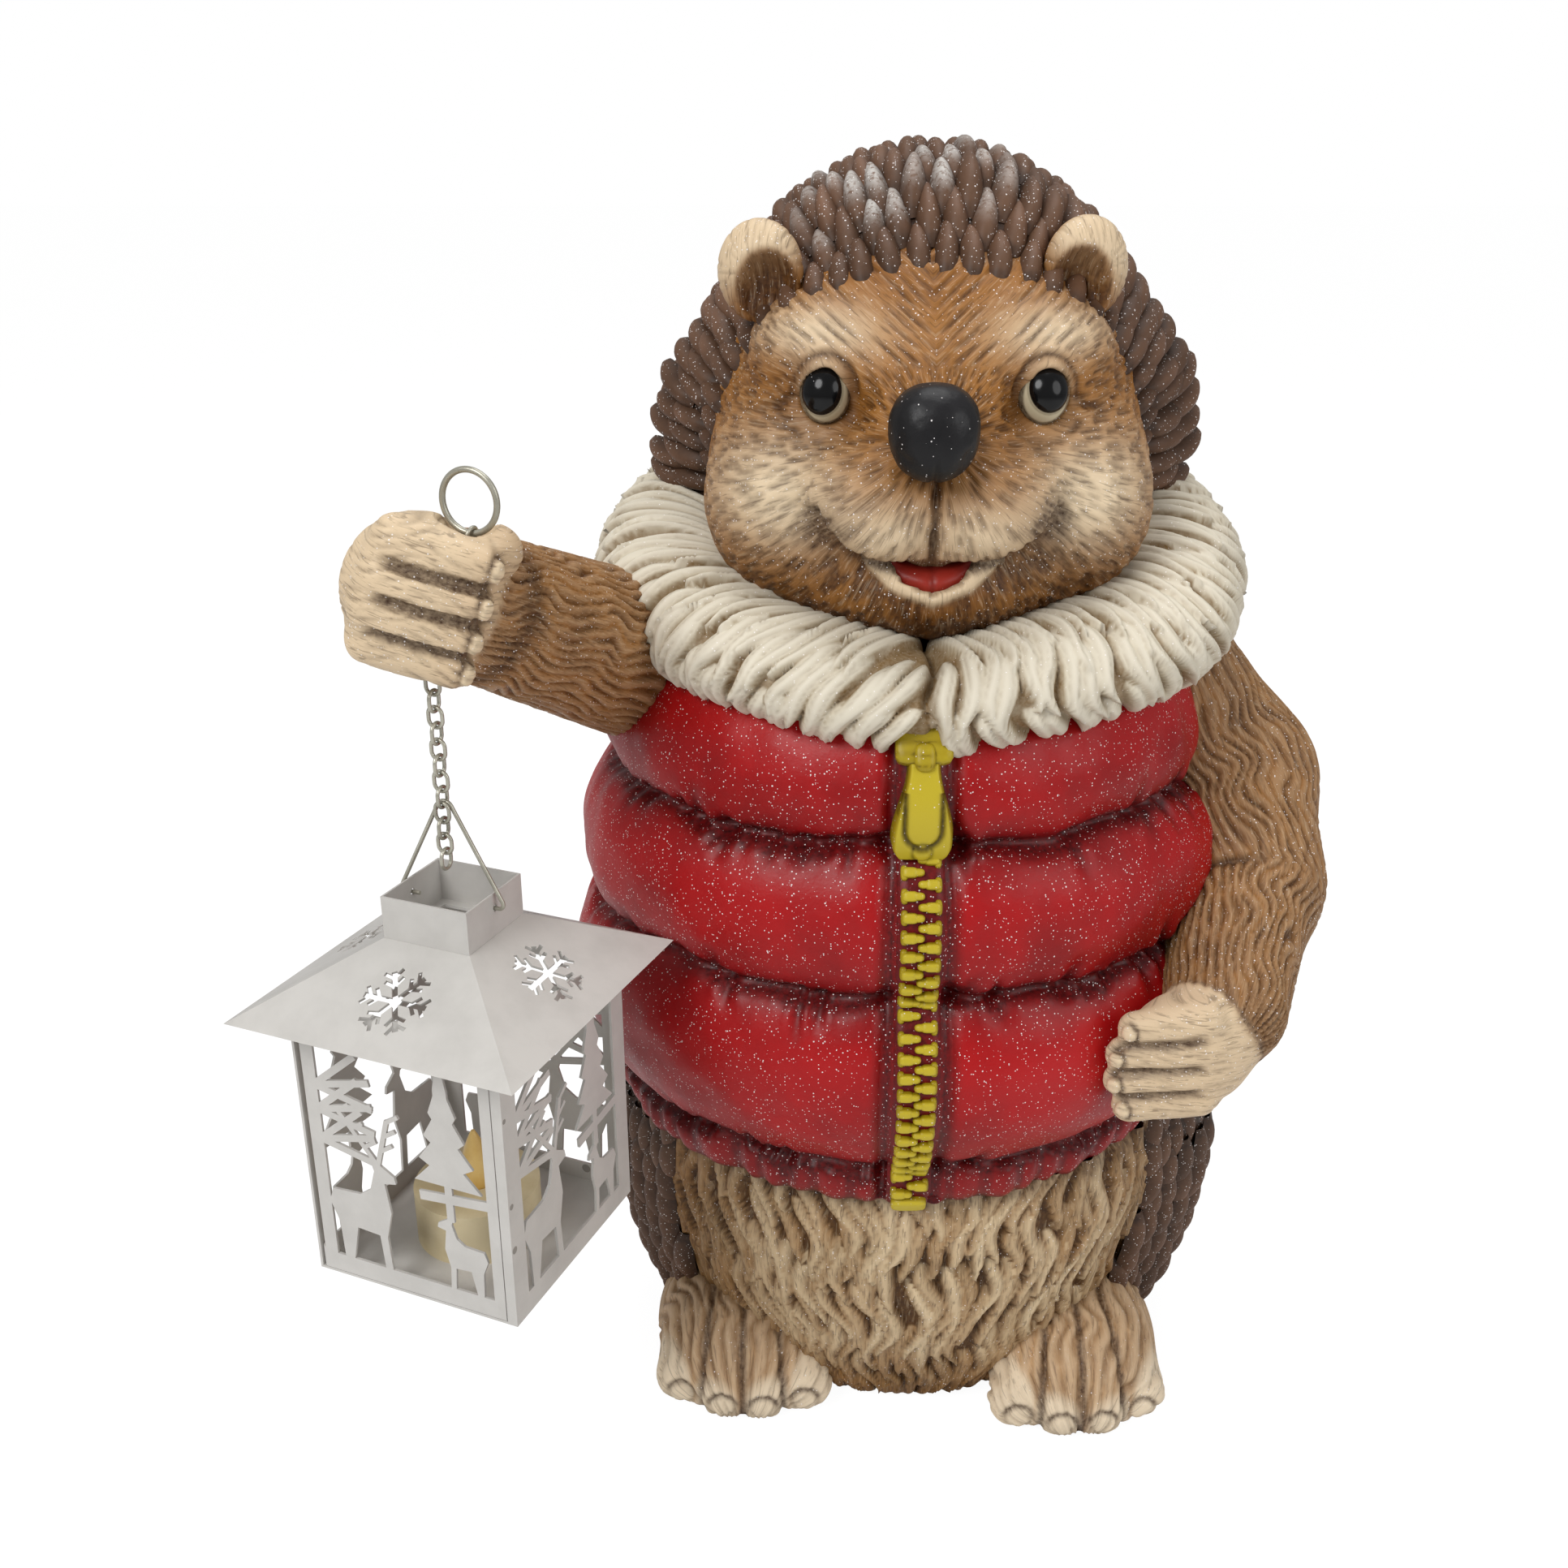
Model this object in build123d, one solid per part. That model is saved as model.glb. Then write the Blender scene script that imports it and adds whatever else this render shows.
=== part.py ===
from build123d import *

import json
import math
import os

# Hedgehog figurine in a quilted vest, holding a small lantern on a chain.
# Seen from the front X runs to the right, Y to the back and Z up.
# The origin is on the ground under the middle of the torso.

# Torso: belly and quilted vest, turned about Z and flattened front to back
DEPTH_RATIO = 0.95
WALL = 8.0
FIT = 0.3
BASE_R = 62.0
BELLY_H = 106.0
BELLY_TOP_R = 93.0
BELLY_PUFF = 6.0
SPIGOT_H = 12.0
DRAIN_R = 11.0
DRAIN_Y = 22.0

# Vest rows from the hem up: height, radius of the upper seam, puff beyond a straight side
HEM_R = 95.0
HEM_ROW = (15.0, 97.0, 2.5)
LOWER_ROW = (63.0, 103.0, 13.0)
MIDDLE_ROW = (47.0, 96.0, 9.5)
UPPER_ROW = (48.0, 78.0, 11.0)
VEST_ROWS = (HEM_ROW, LOWER_ROW, MIDDLE_ROW, UPPER_ROW)

# Zip down the front of the vest
ZIP_W = 13.0
ZIP_PROUD = 3.0
SLIDER_W = 16.5
SLIDER_H = 38.0
SLIDER_PROUD = 7.0
SLIDER_DROP = 50.0
SLIDER_CORNER = 6.0

# Head, face and collar
NECK_R = 44.0
HEAD_RISE = 65.0
HEAD_X = 4.0
HEAD_Y = -8.0
FACE_TURN = 2.5
HEAD_RADII = (66.0, 64.0, 60.0)
HEAD_WALL = 15.0
MUZZLE_RADII = (33.0, 32.0, 25.0)
MUZZLE_FORWARD = 50.0
MUZZLE_DROP = 12.0
JAW_RADII = (48.0, 38.0, 27.0)
JAW_FORWARD = 34.0
JAW_DROP = 32.0
CHEEK_RADII = (32.0, 30.0, 28.0)
CHEEK_OUT = 35.0
CHEEK_FORWARD = 28.0
CHEEK_DROP = 26.0
NOSE_RADII = (11.8, 12.0, 12.6)
NOSE_FORWARD = 77.0
NOSE_RISE = 5.0
SOCKET_FIT = 0.1
EYE_RADII = (8.5, 8.5, 9.0)
EYE_OUT = 30.0
EYE_FORWARD = 52.0
EYE_RISE = 11.0
MOUTH_RADII = (12.0, 8.0, 5.0)
MOUTH_FORWARD = 67.0
MOUTH_DROP = 35.0
EAR_RADII = (14.0, 9.0, 15.0)
EAR_CUP_RADII = (9.5, 6.0, 10.5)
EAR_OUT = 47.0
EAR_FORWARD = 38.0
EAR_RISE = 46.0
EAR_TURN = 20.0
CROWN_RADII = (80.0, 74.0, 67.0)
CROWN_BACK = 16.0
CROWN_RISE = 8.0
HAIRLINE_FORWARD = 5.0
HAIRLINE_TILT = 40.0
QUILL_L = 19.5
QUILL_R = 6.5
QUILL_TIP_R = 1.2
QUILL_PITCH = 20.0
QUILL_LIFT = 2.5
QUILL_SINK = 2.5
QUILL_ROWS = 6

# Fur collar: half heights and rises above the vest at its front and at its back
COLLAR_R = 78.0
COLLAR_HALF_W = 26.5
COLLAR_HALF_H = (20.0, 33.0)
COLLAR_RISE = (-2.0, 21.0)
COLLAR_LOCKS = 40
COLLAR_GROOVE = 4.0

# Quills on the back below the vest
BACK_QUILL_DEPTH = 13.0
BACK_QUILL_Z = 10.0
BACK_QUILL_Y = 8.0

# Feet
FOOT_RADII = (31.0, 40.0, 28.0)
FOOT_MID_X = 5.0
FOOT_OUT = 59.0
FOOT_Y = (-33.0, -41.0)
FOOT_Z = 16.0
TOE_RADII = (7.4, 12.0, 8.8)
TOE_COUNT = 4
TOE_PITCH = 13.0
TOE_FORWARD = 33.0
TOE_Z = 8.5

# Raised arm and the paw that holds the chain
SHOULDER_R = 30.0
SHOULDER_OUT = 78.0
RAISED_SHOULDER_Y = -22.0
SHOULDER_DROP = 21.0
WRIST_R = 19.0
WRIST_BACK = 16.0
PAW_RADII = (23.0, 20.0, 24.0)
PAW_RISE = 33.0
FINGER_R = 6.3
FINGER_PITCH = 11.0
FINGER_HALF = 15.0
FINGER_FORWARD = 12.0
FINGER_COUNT = 4
THUMB_RADII = (9.0, 9.0, 8.0)
THUMB_RISE = 14.4
PEG_R = 8.0
PEG_START = 79.0
PEG_L = 19.0
BORE_R = 4.0
BORE_TILT = 19.0
FUNNEL_R = 12.8
FUNNEL_L = 15.5
FUNNEL_DROP = 4.0

# Resting arm
ELBOW_R = 26.0
ELBOW_OUT = 120.0
ELBOW_Y = -16.0
ELBOW_DROP = 83.0
REST_WRIST = (98.0, -78.0)
REST_WRIST_R = 18.0
REST_WRIST_DROP = 109.0
HAND_RADII = (20.0, 13.0, 19.0)
HAND_SHIFT = (-13.0, -12.0, -8.0)
HAND_FINGER_R = 5.0
HAND_FINGER_PITCH = 8.5
HAND_FINGER_L = 24.0

# Chain, ring and bail, round wire
LINK_WIRE_R = 0.55
LINK_L = 7.0
LINK_W = 5.5
LINK_GAP = 0.15
BORE_LINKS = 9
HANGING_LINKS = 8
LOOSE_LINKS = 4
RING_R = 8.2
RING_WIRE_R = 0.85
BAIL_WIRE_R = 0.6
BAIL_HALF = 17.8
BAIL_CORNER_RISE = 33.0
BAIL_APEX_R = 2.5
BAIL_FOOT_R = 1.5
BAIL_HOOK = 6.0
PAIR_GAP = 0.15

# Lantern of thin painted sheet, turned about Z as it hangs
LANTERN_TURN = -22.7
LANTERN_BEARING = 39.0
LANTERN_GAP = 8.5
SHEET = 0.8
EAVE_W = 92.0
ROOF_TOP_W = 28.4
ROOF_RISE = 17.6
ROOF_VENT_W = 21.0
ROOF_SKIN = 0.9
FLAKE_R = 10.0
FLAKE_ARM_W = 1.7
FLAKE_TWIG_L = 3.6
FLAKE_TWIG_W = 1.2
FLAKE_TWIGS_AT = (5.0, 7.8)
FLAKE_TWIG_SLANT = 50.0
CAP_W = 28.0
CAP_H = 12.8
CAP_SHEET = 0.6
BAIL_HOLE_DROP = 4.6
BAIL_HOLE_R = 1.0
BODY_W = 68.0
BODY_H = 87.0
WALL_TOP = 5.0
CORNER_FLANGE = 2.4
DOOR_GAP = 0.3
HINGE_R = 0.7
HINGE_PLAY = 0.08
KNUCKLE_R = 1.5
KNUCKLE_H = 7.0
KNUCKLE_INSET = 2.6
SILL_GAP = 0.2
LINTEL_BOTTOM = -0.6

# Pierced picture on the panels
BORDER = 7.0
SINK = 1.0
STAG_X = -5.0
STAG_SIZE = 1.12
FAWN_X = 11.0
FAWN_SIZE = 0.74
DEER_OUTLINE = (
    (2, -2), (4.2, -2), (5.2, 10), (12, 10.5), (14.6, -2), (17, -2), (17.6, 11), (20, 17),
    (18.5, 21), (10, 21.5), (6.6, 24), (4.8, 30), (6, 34), (2.6, 32), (-1.2, 29.6),
    (-1.6, 27.6), (2, 26.8), (0.8, 18), (2.8, 10),
)
ANTLER_FOOT = (3.4, 32.0)
ANTLER_LEANS = (-1.3, 3.6)
ANTLER_STEP = 4.6
ANTLER_KNOTS = 3
ANTLER_W = 1.5
TINE = (3.4, 2.2)
TINE_W = 1.3
HILL_X = 5.5
HILL_H = 30.0
HILL_RISE = 2.0
HILL_W = 3.0
FIR_X = 14.5
FIR_FOOT = 5.0
FIR_HALF = 11.0
FIR_TIERS = 5
FIR_NOTCH_RISE = 0.75
TRUNK_W = 2.4
TWIG_RISES = (40.0, 50.0, 58.0)
TWIG_SLANTS = (-12.0, 14.0, 40.0)
TWIG_L = 19.0
TWIG_W = 2.2

# Battery tea light
CUP_R = 19.0
CUP_H = 17.0
CUP_WALL = 1.2
CUP_FOOT_H = 1.4
CUP_FOOT_W = 2.0
FLAME_R = 5.0
FLAME_H = 19.0
FLAME_TIP_R = 0.6
FLAME_WAIST_R = 4.1
FLAME_RIM_H = 1.0
LED_R = 2.5
LED_H = 7.0
CELL_R = 10.0
CELL_H = 3.2
LID_R = 12.0
LID_H = 1.0
SWITCH_L = 4.0
SWITCH_W = 3.0
SWITCH_H = 1.8
SWITCH_TRAVEL = 2.0
SWITCH_OUT = 14.5
SWITCH_PLAY = 0.15
SWITCH_LIP_W = 0.6
SWITCH_LIP_L = 1.2
SWITCH_LIFT = 0.05

BIG = 400.0
LOW = (Align.CENTER, Align.CENTER, Align.MIN)
HIGH = (Align.CENTER, Align.CENTER, Align.MAX)

# Heights that follow from the rows
HEM_TOP_Z = BELLY_H + HEM_ROW[0]
WAIST_SEAM_Z = HEM_TOP_Z + LOWER_ROW[0]
CHEST_SEAM_Z = WAIST_SEAM_Z + MIDDLE_ROW[0]
VEST_TOP_Z = CHEST_SEAM_Z + UPPER_ROW[0]
HEAD_Z = VEST_TOP_Z + HEAD_RISE
HEAD = (HEAD_X, HEAD_Y, HEAD_Z)

# Where the lantern hangs: its nearest eave corner clears the vest's waist seam by LANTERN_GAP
BEARING = math.radians(LANTERN_BEARING)
SEAM_REACH = 1 / math.hypot(
    math.cos(BEARING) / LOWER_ROW[1], math.sin(BEARING) / (LOWER_ROW[1] * DEPTH_RATIO)
)
CORNER_REACH = EAVE_W / math.sqrt(2) * math.cos(math.radians(45 + LANTERN_TURN) - BEARING)
HANG_DISTANCE = SEAM_REACH + CORNER_REACH + LANTERN_GAP
HANG_X = -HANG_DISTANCE * math.cos(BEARING)
HANG_Y = -HANG_DISTANCE * math.sin(BEARING)
PAW = (HANG_X, HANG_Y, VEST_TOP_Z + PAW_RISE)
CHAIN_EXIT = Vector(HANG_X, HANG_Y, PAW[2] - PAW_RADII[2])

# Chain pitch from the link's size, and the directions along and across the lantern
LINK_SPAN = LINK_L - 2 * LINK_WIRE_R
LINK_BEND_R = LINK_W / 2 - LINK_WIRE_R
LINK_PITCH = LINK_SPAN - 2 * LINK_WIRE_R - LINK_GAP
TURN = math.radians(LANTERN_TURN)
ALONG = Vector(math.cos(TURN), math.sin(TURN), 0)
ACROSS = Vector(-math.sin(TURN), math.cos(TURN), 0)
UP = Vector(0, 0, 1)
BORE_DIR = Vector(math.sin(math.radians(BORE_TILT)), 0, math.cos(math.radians(BORE_TILT)))
FINGER_DIR = Vector(BORE_DIR.Z, 0, -BORE_DIR.X)
BORE_ACROSS = (ACROSS - BORE_DIR * ACROSS.dot(BORE_DIR)).normalized()

# The bail and the first loose link lie side by side in the last hanging link's bend
LAST_LINK_Z = CHAIN_EXIT.Z - HANGING_LINKS * LINK_PITCH
BEND_Z = LAST_LINK_Z + LINK_BEND_R
PAIR_STEP = (BAIL_WIRE_R + LINK_WIRE_R + PAIR_GAP) / 2
BEND_ROOM = LINK_BEND_R - LINK_WIRE_R - LINK_GAP
BAIL_APEX_Z = BEND_Z - math.sqrt((BEND_ROOM - BAIL_WIRE_R) ** 2 - PAIR_STEP**2)
LOOSE_TOP_Z = BEND_Z - math.sqrt((BEND_ROOM - LINK_WIRE_R) ** 2 - PAIR_STEP**2)
BAIL_SLANT = math.atan2(BAIL_HALF, BAIL_CORNER_RISE)
BAIL_RISE = BAIL_CORNER_RISE - BAIL_APEX_R * (1 / math.sin(BAIL_SLANT) - 1)
BAIL_HOLE_Z = ROOF_RISE + CAP_H - BAIL_HOLE_DROP
EAVE_Z = BAIL_APEX_Z - BAIL_RISE - BAIL_HOLE_Z
LANTERN_OFFSET = ACROSS * PAIR_STEP
LANTERN = Location(
    (HANG_X + LANTERN_OFFSET.X, HANG_Y + LANTERN_OFFSET.Y, EAVE_Z), (0, 0, LANTERN_TURN)
)
HALF = BODY_W / 2
FLOOR_Z = -BODY_H + SHEET
HINGE_X = -HALF + KNUCKLE_INSET
HINGE_Y = -HALF + KNUCKLE_R


def ellipsoid(center, radii):
    """Ball stretched to three radii, with its seam to the back."""
    return Pos(*center) * scale(Rot(0, 0, 90) * Sphere(1), by=tuple(radii))


def limb(start, end, start_r, end_r):
    """Round tapered limb between two points."""
    line = Vector(*end) - Vector(*start)
    return Plane(origin=start, z_dir=line) * Cone(start_r, end_r, line.length, align=LOW)


def capsule(start, end, r):
    """Round bar with round ends."""
    line = Vector(*end) - Vector(*start)
    bar = Plane(origin=start, z_dir=line) * Cylinder(r, line.length, align=LOW)
    return bar + Pos(*start) * Sphere(r) + Pos(*end) * Sphere(r)


def turned(edges):
    """Half section turned about Z and flattened front to back."""
    return scale(revolve(make_face(edges), Axis.Z), by=(1, DEPTH_RATIO, 1))


def biggest(shape):
    """Largest solid of a shape, without the crumbs that a cut leaves."""
    return shape.solids().sort_by(SortBy.VOLUME)[-1]


def from_head(out, forward, rise):
    """Point measured from the middle of the head, which is turned a little to one side."""
    turn = math.radians(FACE_TURN)
    x = out * math.cos(turn) - forward * math.sin(turn)
    y = -out * math.sin(turn) - forward * math.cos(turn)
    return (HEAD_X + x, HEAD_Y + y, HEAD_Z + rise)


def belly_outline(extra, low, high):
    """Half section of the belly, grown outward by extra, between two heights."""
    middle = ((BASE_R + BELLY_TOP_R) / 2 + BELLY_PUFF + extra, 0, BELLY_H / 2)
    side = ThreePointArc((BASE_R + extra, 0, 0), middle, (BELLY_TOP_R + extra, 0, BELLY_H))
    foot = (BASE_R + extra, 0, -WALL)
    outline = turned([side, Polyline(side @ 1, (0, 0, BELLY_H), (0, 0, -WALL), foot, side @ 0)])
    return outline & Pos(0, 0, low) * Box(BIG, BIG, high - low, align=LOW)


def vest_outline(extra):
    """Solid inside the vest's outer face, grown outward by extra."""
    edges = []
    start = (HEM_R + extra, 0, BELLY_H)
    corner = start
    for height, seam_r, puff in VEST_ROWS:
        top = (seam_r + extra, 0, corner[2] + height)
        middle = ((corner[0] + top[0]) / 2 + puff, 0, corner[2] + height / 2)
        edges.append(ThreePointArc(corner, middle, top))
        corner = top
    edges.append(Polyline(corner, (0, 0, corner[2]), (0, 0, BELLY_H), start))
    return turned(edges)


def vest_room():
    """Space inside the vest, straight sided between its seams."""
    points = [(0, 0, BELLY_H), (HEM_R - WALL, 0, BELLY_H)]
    z = BELLY_H
    for height, seam_r, _ in VEST_ROWS[:-1]:
        z += height
        points.append((seam_r - WALL, 0, z))
    points.append((VEST_ROWS[-1][1] - WALL, 0, VEST_TOP_Z - WALL))
    points.append((0, 0, VEST_TOP_Z - WALL))
    return turned([Polyline(*points, close=True)])


def belly():
    """Hollow lower body on its flat foot, with a spigot for the vest and a drain hole."""
    spigot_r = HEM_R - WALL - FIT
    top = BELLY_H + SPIGOT_H
    spigot = scale(Cylinder(spigot_r, top, align=LOW), by=(1, DEPTH_RATIO, 1))
    body = belly_outline(0, 0, BELLY_H) + (spigot & Pos(0, 0, BELLY_H) * Box(BIG, BIG, BIG, align=LOW))
    inner_top = spigot_r - WALL
    middle = ((BASE_R + BELLY_TOP_R) / 2 - WALL, 0, BELLY_H / 2)
    room = turned(
        [
            Polyline(
                (0, 0, WALL),
                (BASE_R - WALL, 0, WALL),
                middle,
                (inner_top, 0, BELLY_H),
                (inner_top, 0, top),
                (0, 0, top),
                close=True,
            )
        ]
    )
    return body - room - Pos(0, DRAIN_Y, 0) * Cylinder(DRAIN_R, WALL, align=LOW)


def zip_tape(vest_solid, collar):
    """Strip of zip teeth standing proud of the vest's front."""
    band = Pos(0, -BIG / 2, BELLY_H) * Box(ZIP_W, BIG, VEST_TOP_Z - BELLY_H, align=LOW)
    return (vest_outline(ZIP_PROUD) & band) - vest_solid - collar


def zip_slider(vest_solid, collar, tape):
    """Slider body with its pull tab, seated on the zip."""
    outline = RectangleRounded(SLIDER_W, SLIDER_H, SLIDER_CORNER)
    middle = (0, 0, VEST_TOP_Z - SLIDER_DROP + SLIDER_H / 2)
    block = extrude(Plane(origin=middle, x_dir=(1, 0, 0), z_dir=(0, -1, 0)) * outline, BIG / 2)
    return (vest_outline(SLIDER_PROUD) & block) - vest_solid - tape - collar


def head_solid():
    """Skull, muzzle and cheeks with the neck that drops into the vest."""
    shape = ellipsoid(HEAD, HEAD_RADII)
    shape += ellipsoid(from_head(0, JAW_FORWARD, -JAW_DROP), JAW_RADII)
    shape += ellipsoid(from_head(0, MUZZLE_FORWARD, -MUZZLE_DROP), MUZZLE_RADII)
    for side in (-1, 1):
        cheek = from_head(side * CHEEK_OUT, CHEEK_FORWARD, -CHEEK_DROP)
        shape += ellipsoid(cheek, CHEEK_RADII)
    neck = Pos(0, 0, VEST_TOP_Z - WALL) * Cylinder(NECK_R, HEAD_RISE + WALL, align=LOW)
    return shape + neck


def head_room():
    """Space inside the head, open through the neck."""
    room = ellipsoid(HEAD, [radius - HEAD_WALL for radius in HEAD_RADII])
    return room + Pos(0, 0, VEST_TOP_Z - WALL) * Cylinder(NECK_R - WALL, HEAD_RISE + WALL, align=LOW)


def collar_section(station):
    """Outline of the collar at one of its stations, on the top of a lock or down between two."""
    turn = math.pi * station / COLLAR_LOCKS
    back = (1 - math.cos(turn)) / 2
    half_h = COLLAR_HALF_H[0] + (COLLAR_HALF_H[1] - COLLAR_HALF_H[0]) * back
    rise = COLLAR_RISE[0] + (COLLAR_RISE[1] - COLLAR_RISE[0]) * back
    sink = 0 if station % 2 else COLLAR_GROOVE
    out = Vector(math.sin(turn), -math.cos(turn) * DEPTH_RATIO, 0)
    middle = Vector(HEAD_X, 0, VEST_TOP_Z + rise) + out * COLLAR_R
    return Plane(middle, x_dir=out, z_dir=out.cross(UP)) * Ellipse(COLLAR_HALF_W - sink, half_h - sink)


def fur_collar():
    """Thick ring of fur locks, low at the front and high at the back."""
    quarter = COLLAR_LOCKS // 2
    shape = Part()
    for first in range(0, 2 * COLLAR_LOCKS, quarter):
        stations = range(first, first + quarter + 1)
        shape += loft([collar_section(station) for station in stations], ruled=True)
    return shape


def crown_way(tilt, turn):
    """Direction from the crown's middle at a tilt away from the face and a turn round that line."""
    lean = math.radians(HAIRLINE_TILT)
    face = Vector(0, -math.cos(lean), -math.sin(lean))
    top = Vector(0, -math.sin(lean), math.cos(lean))
    side = Vector(math.sin(turn), 0, 0) + top * math.cos(turn)
    return face * math.cos(tilt) + side * math.sin(tilt)


def quill(tilt, turn):
    """Spindle lying along the crown, its root sunk in and its tip lifted off."""
    middle = Vector(*from_head(0, -CROWN_BACK, CROWN_RISE))
    ends = []
    for angle, lift in ((tilt, -QUILL_SINK), (tilt + QUILL_L / CROWN_RADII[1], QUILL_LIFT)):
        way = crown_way(angle, turn)
        spot = Vector(*(a * b for a, b in zip(tuple(way), CROWN_RADII)))
        ends.append(middle + spot + spot.normalized() * lift)
    line = ends[1] - ends[0]
    waist = (QUILL_R, 0, line.length / 2)
    tip = (QUILL_TIP_R, 0, line.length)
    half = Polyline((0, 0, 0), (QUILL_TIP_R, 0, 0), waist, tip, (0, 0, line.length), close=True)
    return Plane(ends[0], z_dir=line) * revolve(make_face(half), Axis.Z)


def crown(head, collar):
    """Quill coat over the top, sides and back of the head."""
    tilt = math.radians(HAIRLINE_TILT)
    quills = []
    for row in range(QUILL_ROWS):
        row_tilt = math.pi / 2 + (row - 1) * QUILL_PITCH / CROWN_RADII[1]
        count = round(2 * math.pi * CROWN_RADII[0] * math.sin(row_tilt) / QUILL_PITCH)
        for index in range(count):
            turn = 2 * math.pi * (index + row % 2 / 2) / count
            quills.append(quill(row_tilt, turn))
    ball = Rot(HAIRLINE_TILT - 90, 0, 0) * Rot(0, 0, 90) * Sphere(1)
    shape = Pos(*from_head(0, -CROWN_BACK, CROWN_RISE)) * scale(ball, by=CROWN_RADII) + quills
    face_side = Plane(
        origin=from_head(0, HAIRLINE_FORWARD, 0),
        x_dir=(1, 0, 0),
        z_dir=(0, -math.cos(tilt), -math.sin(tilt)),
    )
    shape -= face_side * Box(BIG, BIG, BIG, align=LOW)
    shape -= Pos(0, 0, HEAD_Z - HEAD_RADII[2]) * Box(BIG, BIG, BIG, align=HIGH)
    for side in (-1, 1):
        shape -= ear_place(side) * scale(Sphere(1), by=EAR_RADII)
    return biggest(shape - head - collar)


def ear_place(side):
    """Middle of an ear, turned a little outward."""
    return Location(from_head(side * EAR_OUT, EAR_FORWARD, EAR_RISE), (0, 0, side * EAR_TURN))


def ear(side, head):
    """Round cupped ear set into the edge of the head's quills."""
    cup = Pos(0, -EAR_RADII[1], 0) * scale(Sphere(1), by=EAR_CUP_RADII)
    shape = ear_place(side) * (scale(Sphere(1), by=EAR_RADII) - cup)
    return biggest(shape - head)


def foot(side, y, belly_solid):
    """Foot with its row of toes, flat underneath."""
    middle = FOOT_MID_X + side * FOOT_OUT
    shape = ellipsoid((middle, y, FOOT_Z), FOOT_RADII)
    for index in range(TOE_COUNT):
        x = middle + (index - (TOE_COUNT - 1) / 2) * TOE_PITCH
        shape += ellipsoid((x, y - TOE_FORWARD, TOE_Z), TOE_RADII)
    shape &= Box(BIG, BIG, BIG, align=LOW)
    return biggest(shape - belly_solid)


def shoulder_peg(side, y):
    """Place of the peg that carries an arm, from inside the vest's wall outward."""
    z = VEST_TOP_Z - SHOULDER_DROP
    return Plane(origin=(side * PEG_START, y, z), z_dir=(side, 0, 0))


def raised_arm(cutters):
    """Arm held out to the side, ending in a fist with the chain's bore through it."""
    shoulder = (-SHOULDER_OUT, RAISED_SHOULDER_Y, VEST_TOP_Z - SHOULDER_DROP)
    reach = (Vector(*PAW) - Vector(*shoulder)).normalized()
    wrist = Vector(*PAW) - reach * WRIST_BACK
    shape = limb(shoulder, tuple(wrist), SHOULDER_R, WRIST_R)
    tilt = Location(PAW, (0, BORE_TILT, 0))
    shape += tilt * scale(Rot(0, 0, 180) * Sphere(1), by=PAW_RADII)
    for index in range(FINGER_COUNT):
        rise = (index - (FINGER_COUNT - 1) / 2) * FINGER_PITCH
        middle = Vector(*PAW) + BORE_DIR * rise - Vector(0, FINGER_FORWARD, 0)
        half = FINGER_DIR * FINGER_HALF
        shape += capsule(tuple(middle - half), tuple(middle + half), FINGER_R)
    thumb = Vector(*PAW) + FINGER_DIR * FINGER_HALF + BORE_DIR * THUMB_RISE
    shape += ellipsoid(tuple(thumb), THUMB_RADII)
    for cutter in cutters:
        shape -= cutter
    bore = Plane(origin=CHAIN_EXIT - BORE_DIR * PAW_RADII[2], z_dir=BORE_DIR)
    shape -= bore * Cylinder(BORE_R, BIG / 2, align=LOW)
    funnel = Pos(*(ring_foot() - UP * FUNNEL_DROP))
    shape -= funnel * Cone(BORE_R, FUNNEL_R, FUNNEL_L, align=LOW)
    arm = biggest(shape)
    return arm + shoulder_peg(-1, RAISED_SHOULDER_Y) * Cylinder(PEG_R, PEG_L, align=LOW)


def resting_arm(cutters):
    """Arm bent at the elbow, its hand lying on the vest."""
    shoulder = (SHOULDER_OUT, 0, VEST_TOP_Z - SHOULDER_DROP)
    elbow = (ELBOW_OUT, ELBOW_Y, VEST_TOP_Z - ELBOW_DROP)
    wrist = (*REST_WRIST, VEST_TOP_Z - REST_WRIST_DROP)
    shape = limb(shoulder, elbow, SHOULDER_R, ELBOW_R)
    shape += Pos(*elbow) * Sphere(ELBOW_R)
    shape += limb(elbow, wrist, ELBOW_R, REST_WRIST_R)
    shape += Pos(*wrist) * Sphere(REST_WRIST_R)
    hand = Vector(*wrist) + Vector(*HAND_SHIFT)
    shape += ellipsoid(tuple(hand), HAND_RADII)
    for index in range(FINGER_COUNT):
        rise = (index - (FINGER_COUNT - 1) / 2) * HAND_FINGER_PITCH
        knuckle = hand + Vector(0, -HAND_RADII[1] / 2, rise)
        tip = knuckle - Vector(HAND_FINGER_L, 0, HAND_FINGER_R)
        shape += capsule(tuple(knuckle), tuple(tip), HAND_FINGER_R)
    for cutter in cutters:
        shape -= cutter
    return biggest(shape) + shoulder_peg(1, 0) * Cylinder(PEG_R, PEG_L, align=LOW)


def link():
    """One oval chain link standing in the XZ plane, its middle at the origin."""
    straight = LINK_SPAN / 2 - LINK_BEND_R
    section = Plane(origin=(LINK_BEND_R, 0, 0), z_dir=(0, 0, 1)) * Circle(LINK_WIRE_R)
    side = extrude(section, straight, both=True)
    bend = Pos(0, 0, straight) * Rot(90, 0, 0) * Torus(LINK_BEND_R, LINK_WIRE_R)
    bend &= Pos(0, 0, straight) * Box(LINK_W, LINK_W, LINK_L, align=LOW)
    half = side + bend
    return half + Rot(0, 180, 0) * half


def placed_link(bottom, wide, along):
    """Link whose lower wire is centred on bottom, wide across one direction and long along another."""
    middle = bottom + along * (LINK_SPAN / 2)
    return Plane(origin=middle, x_dir=wide, z_dir=along) * link()


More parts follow.
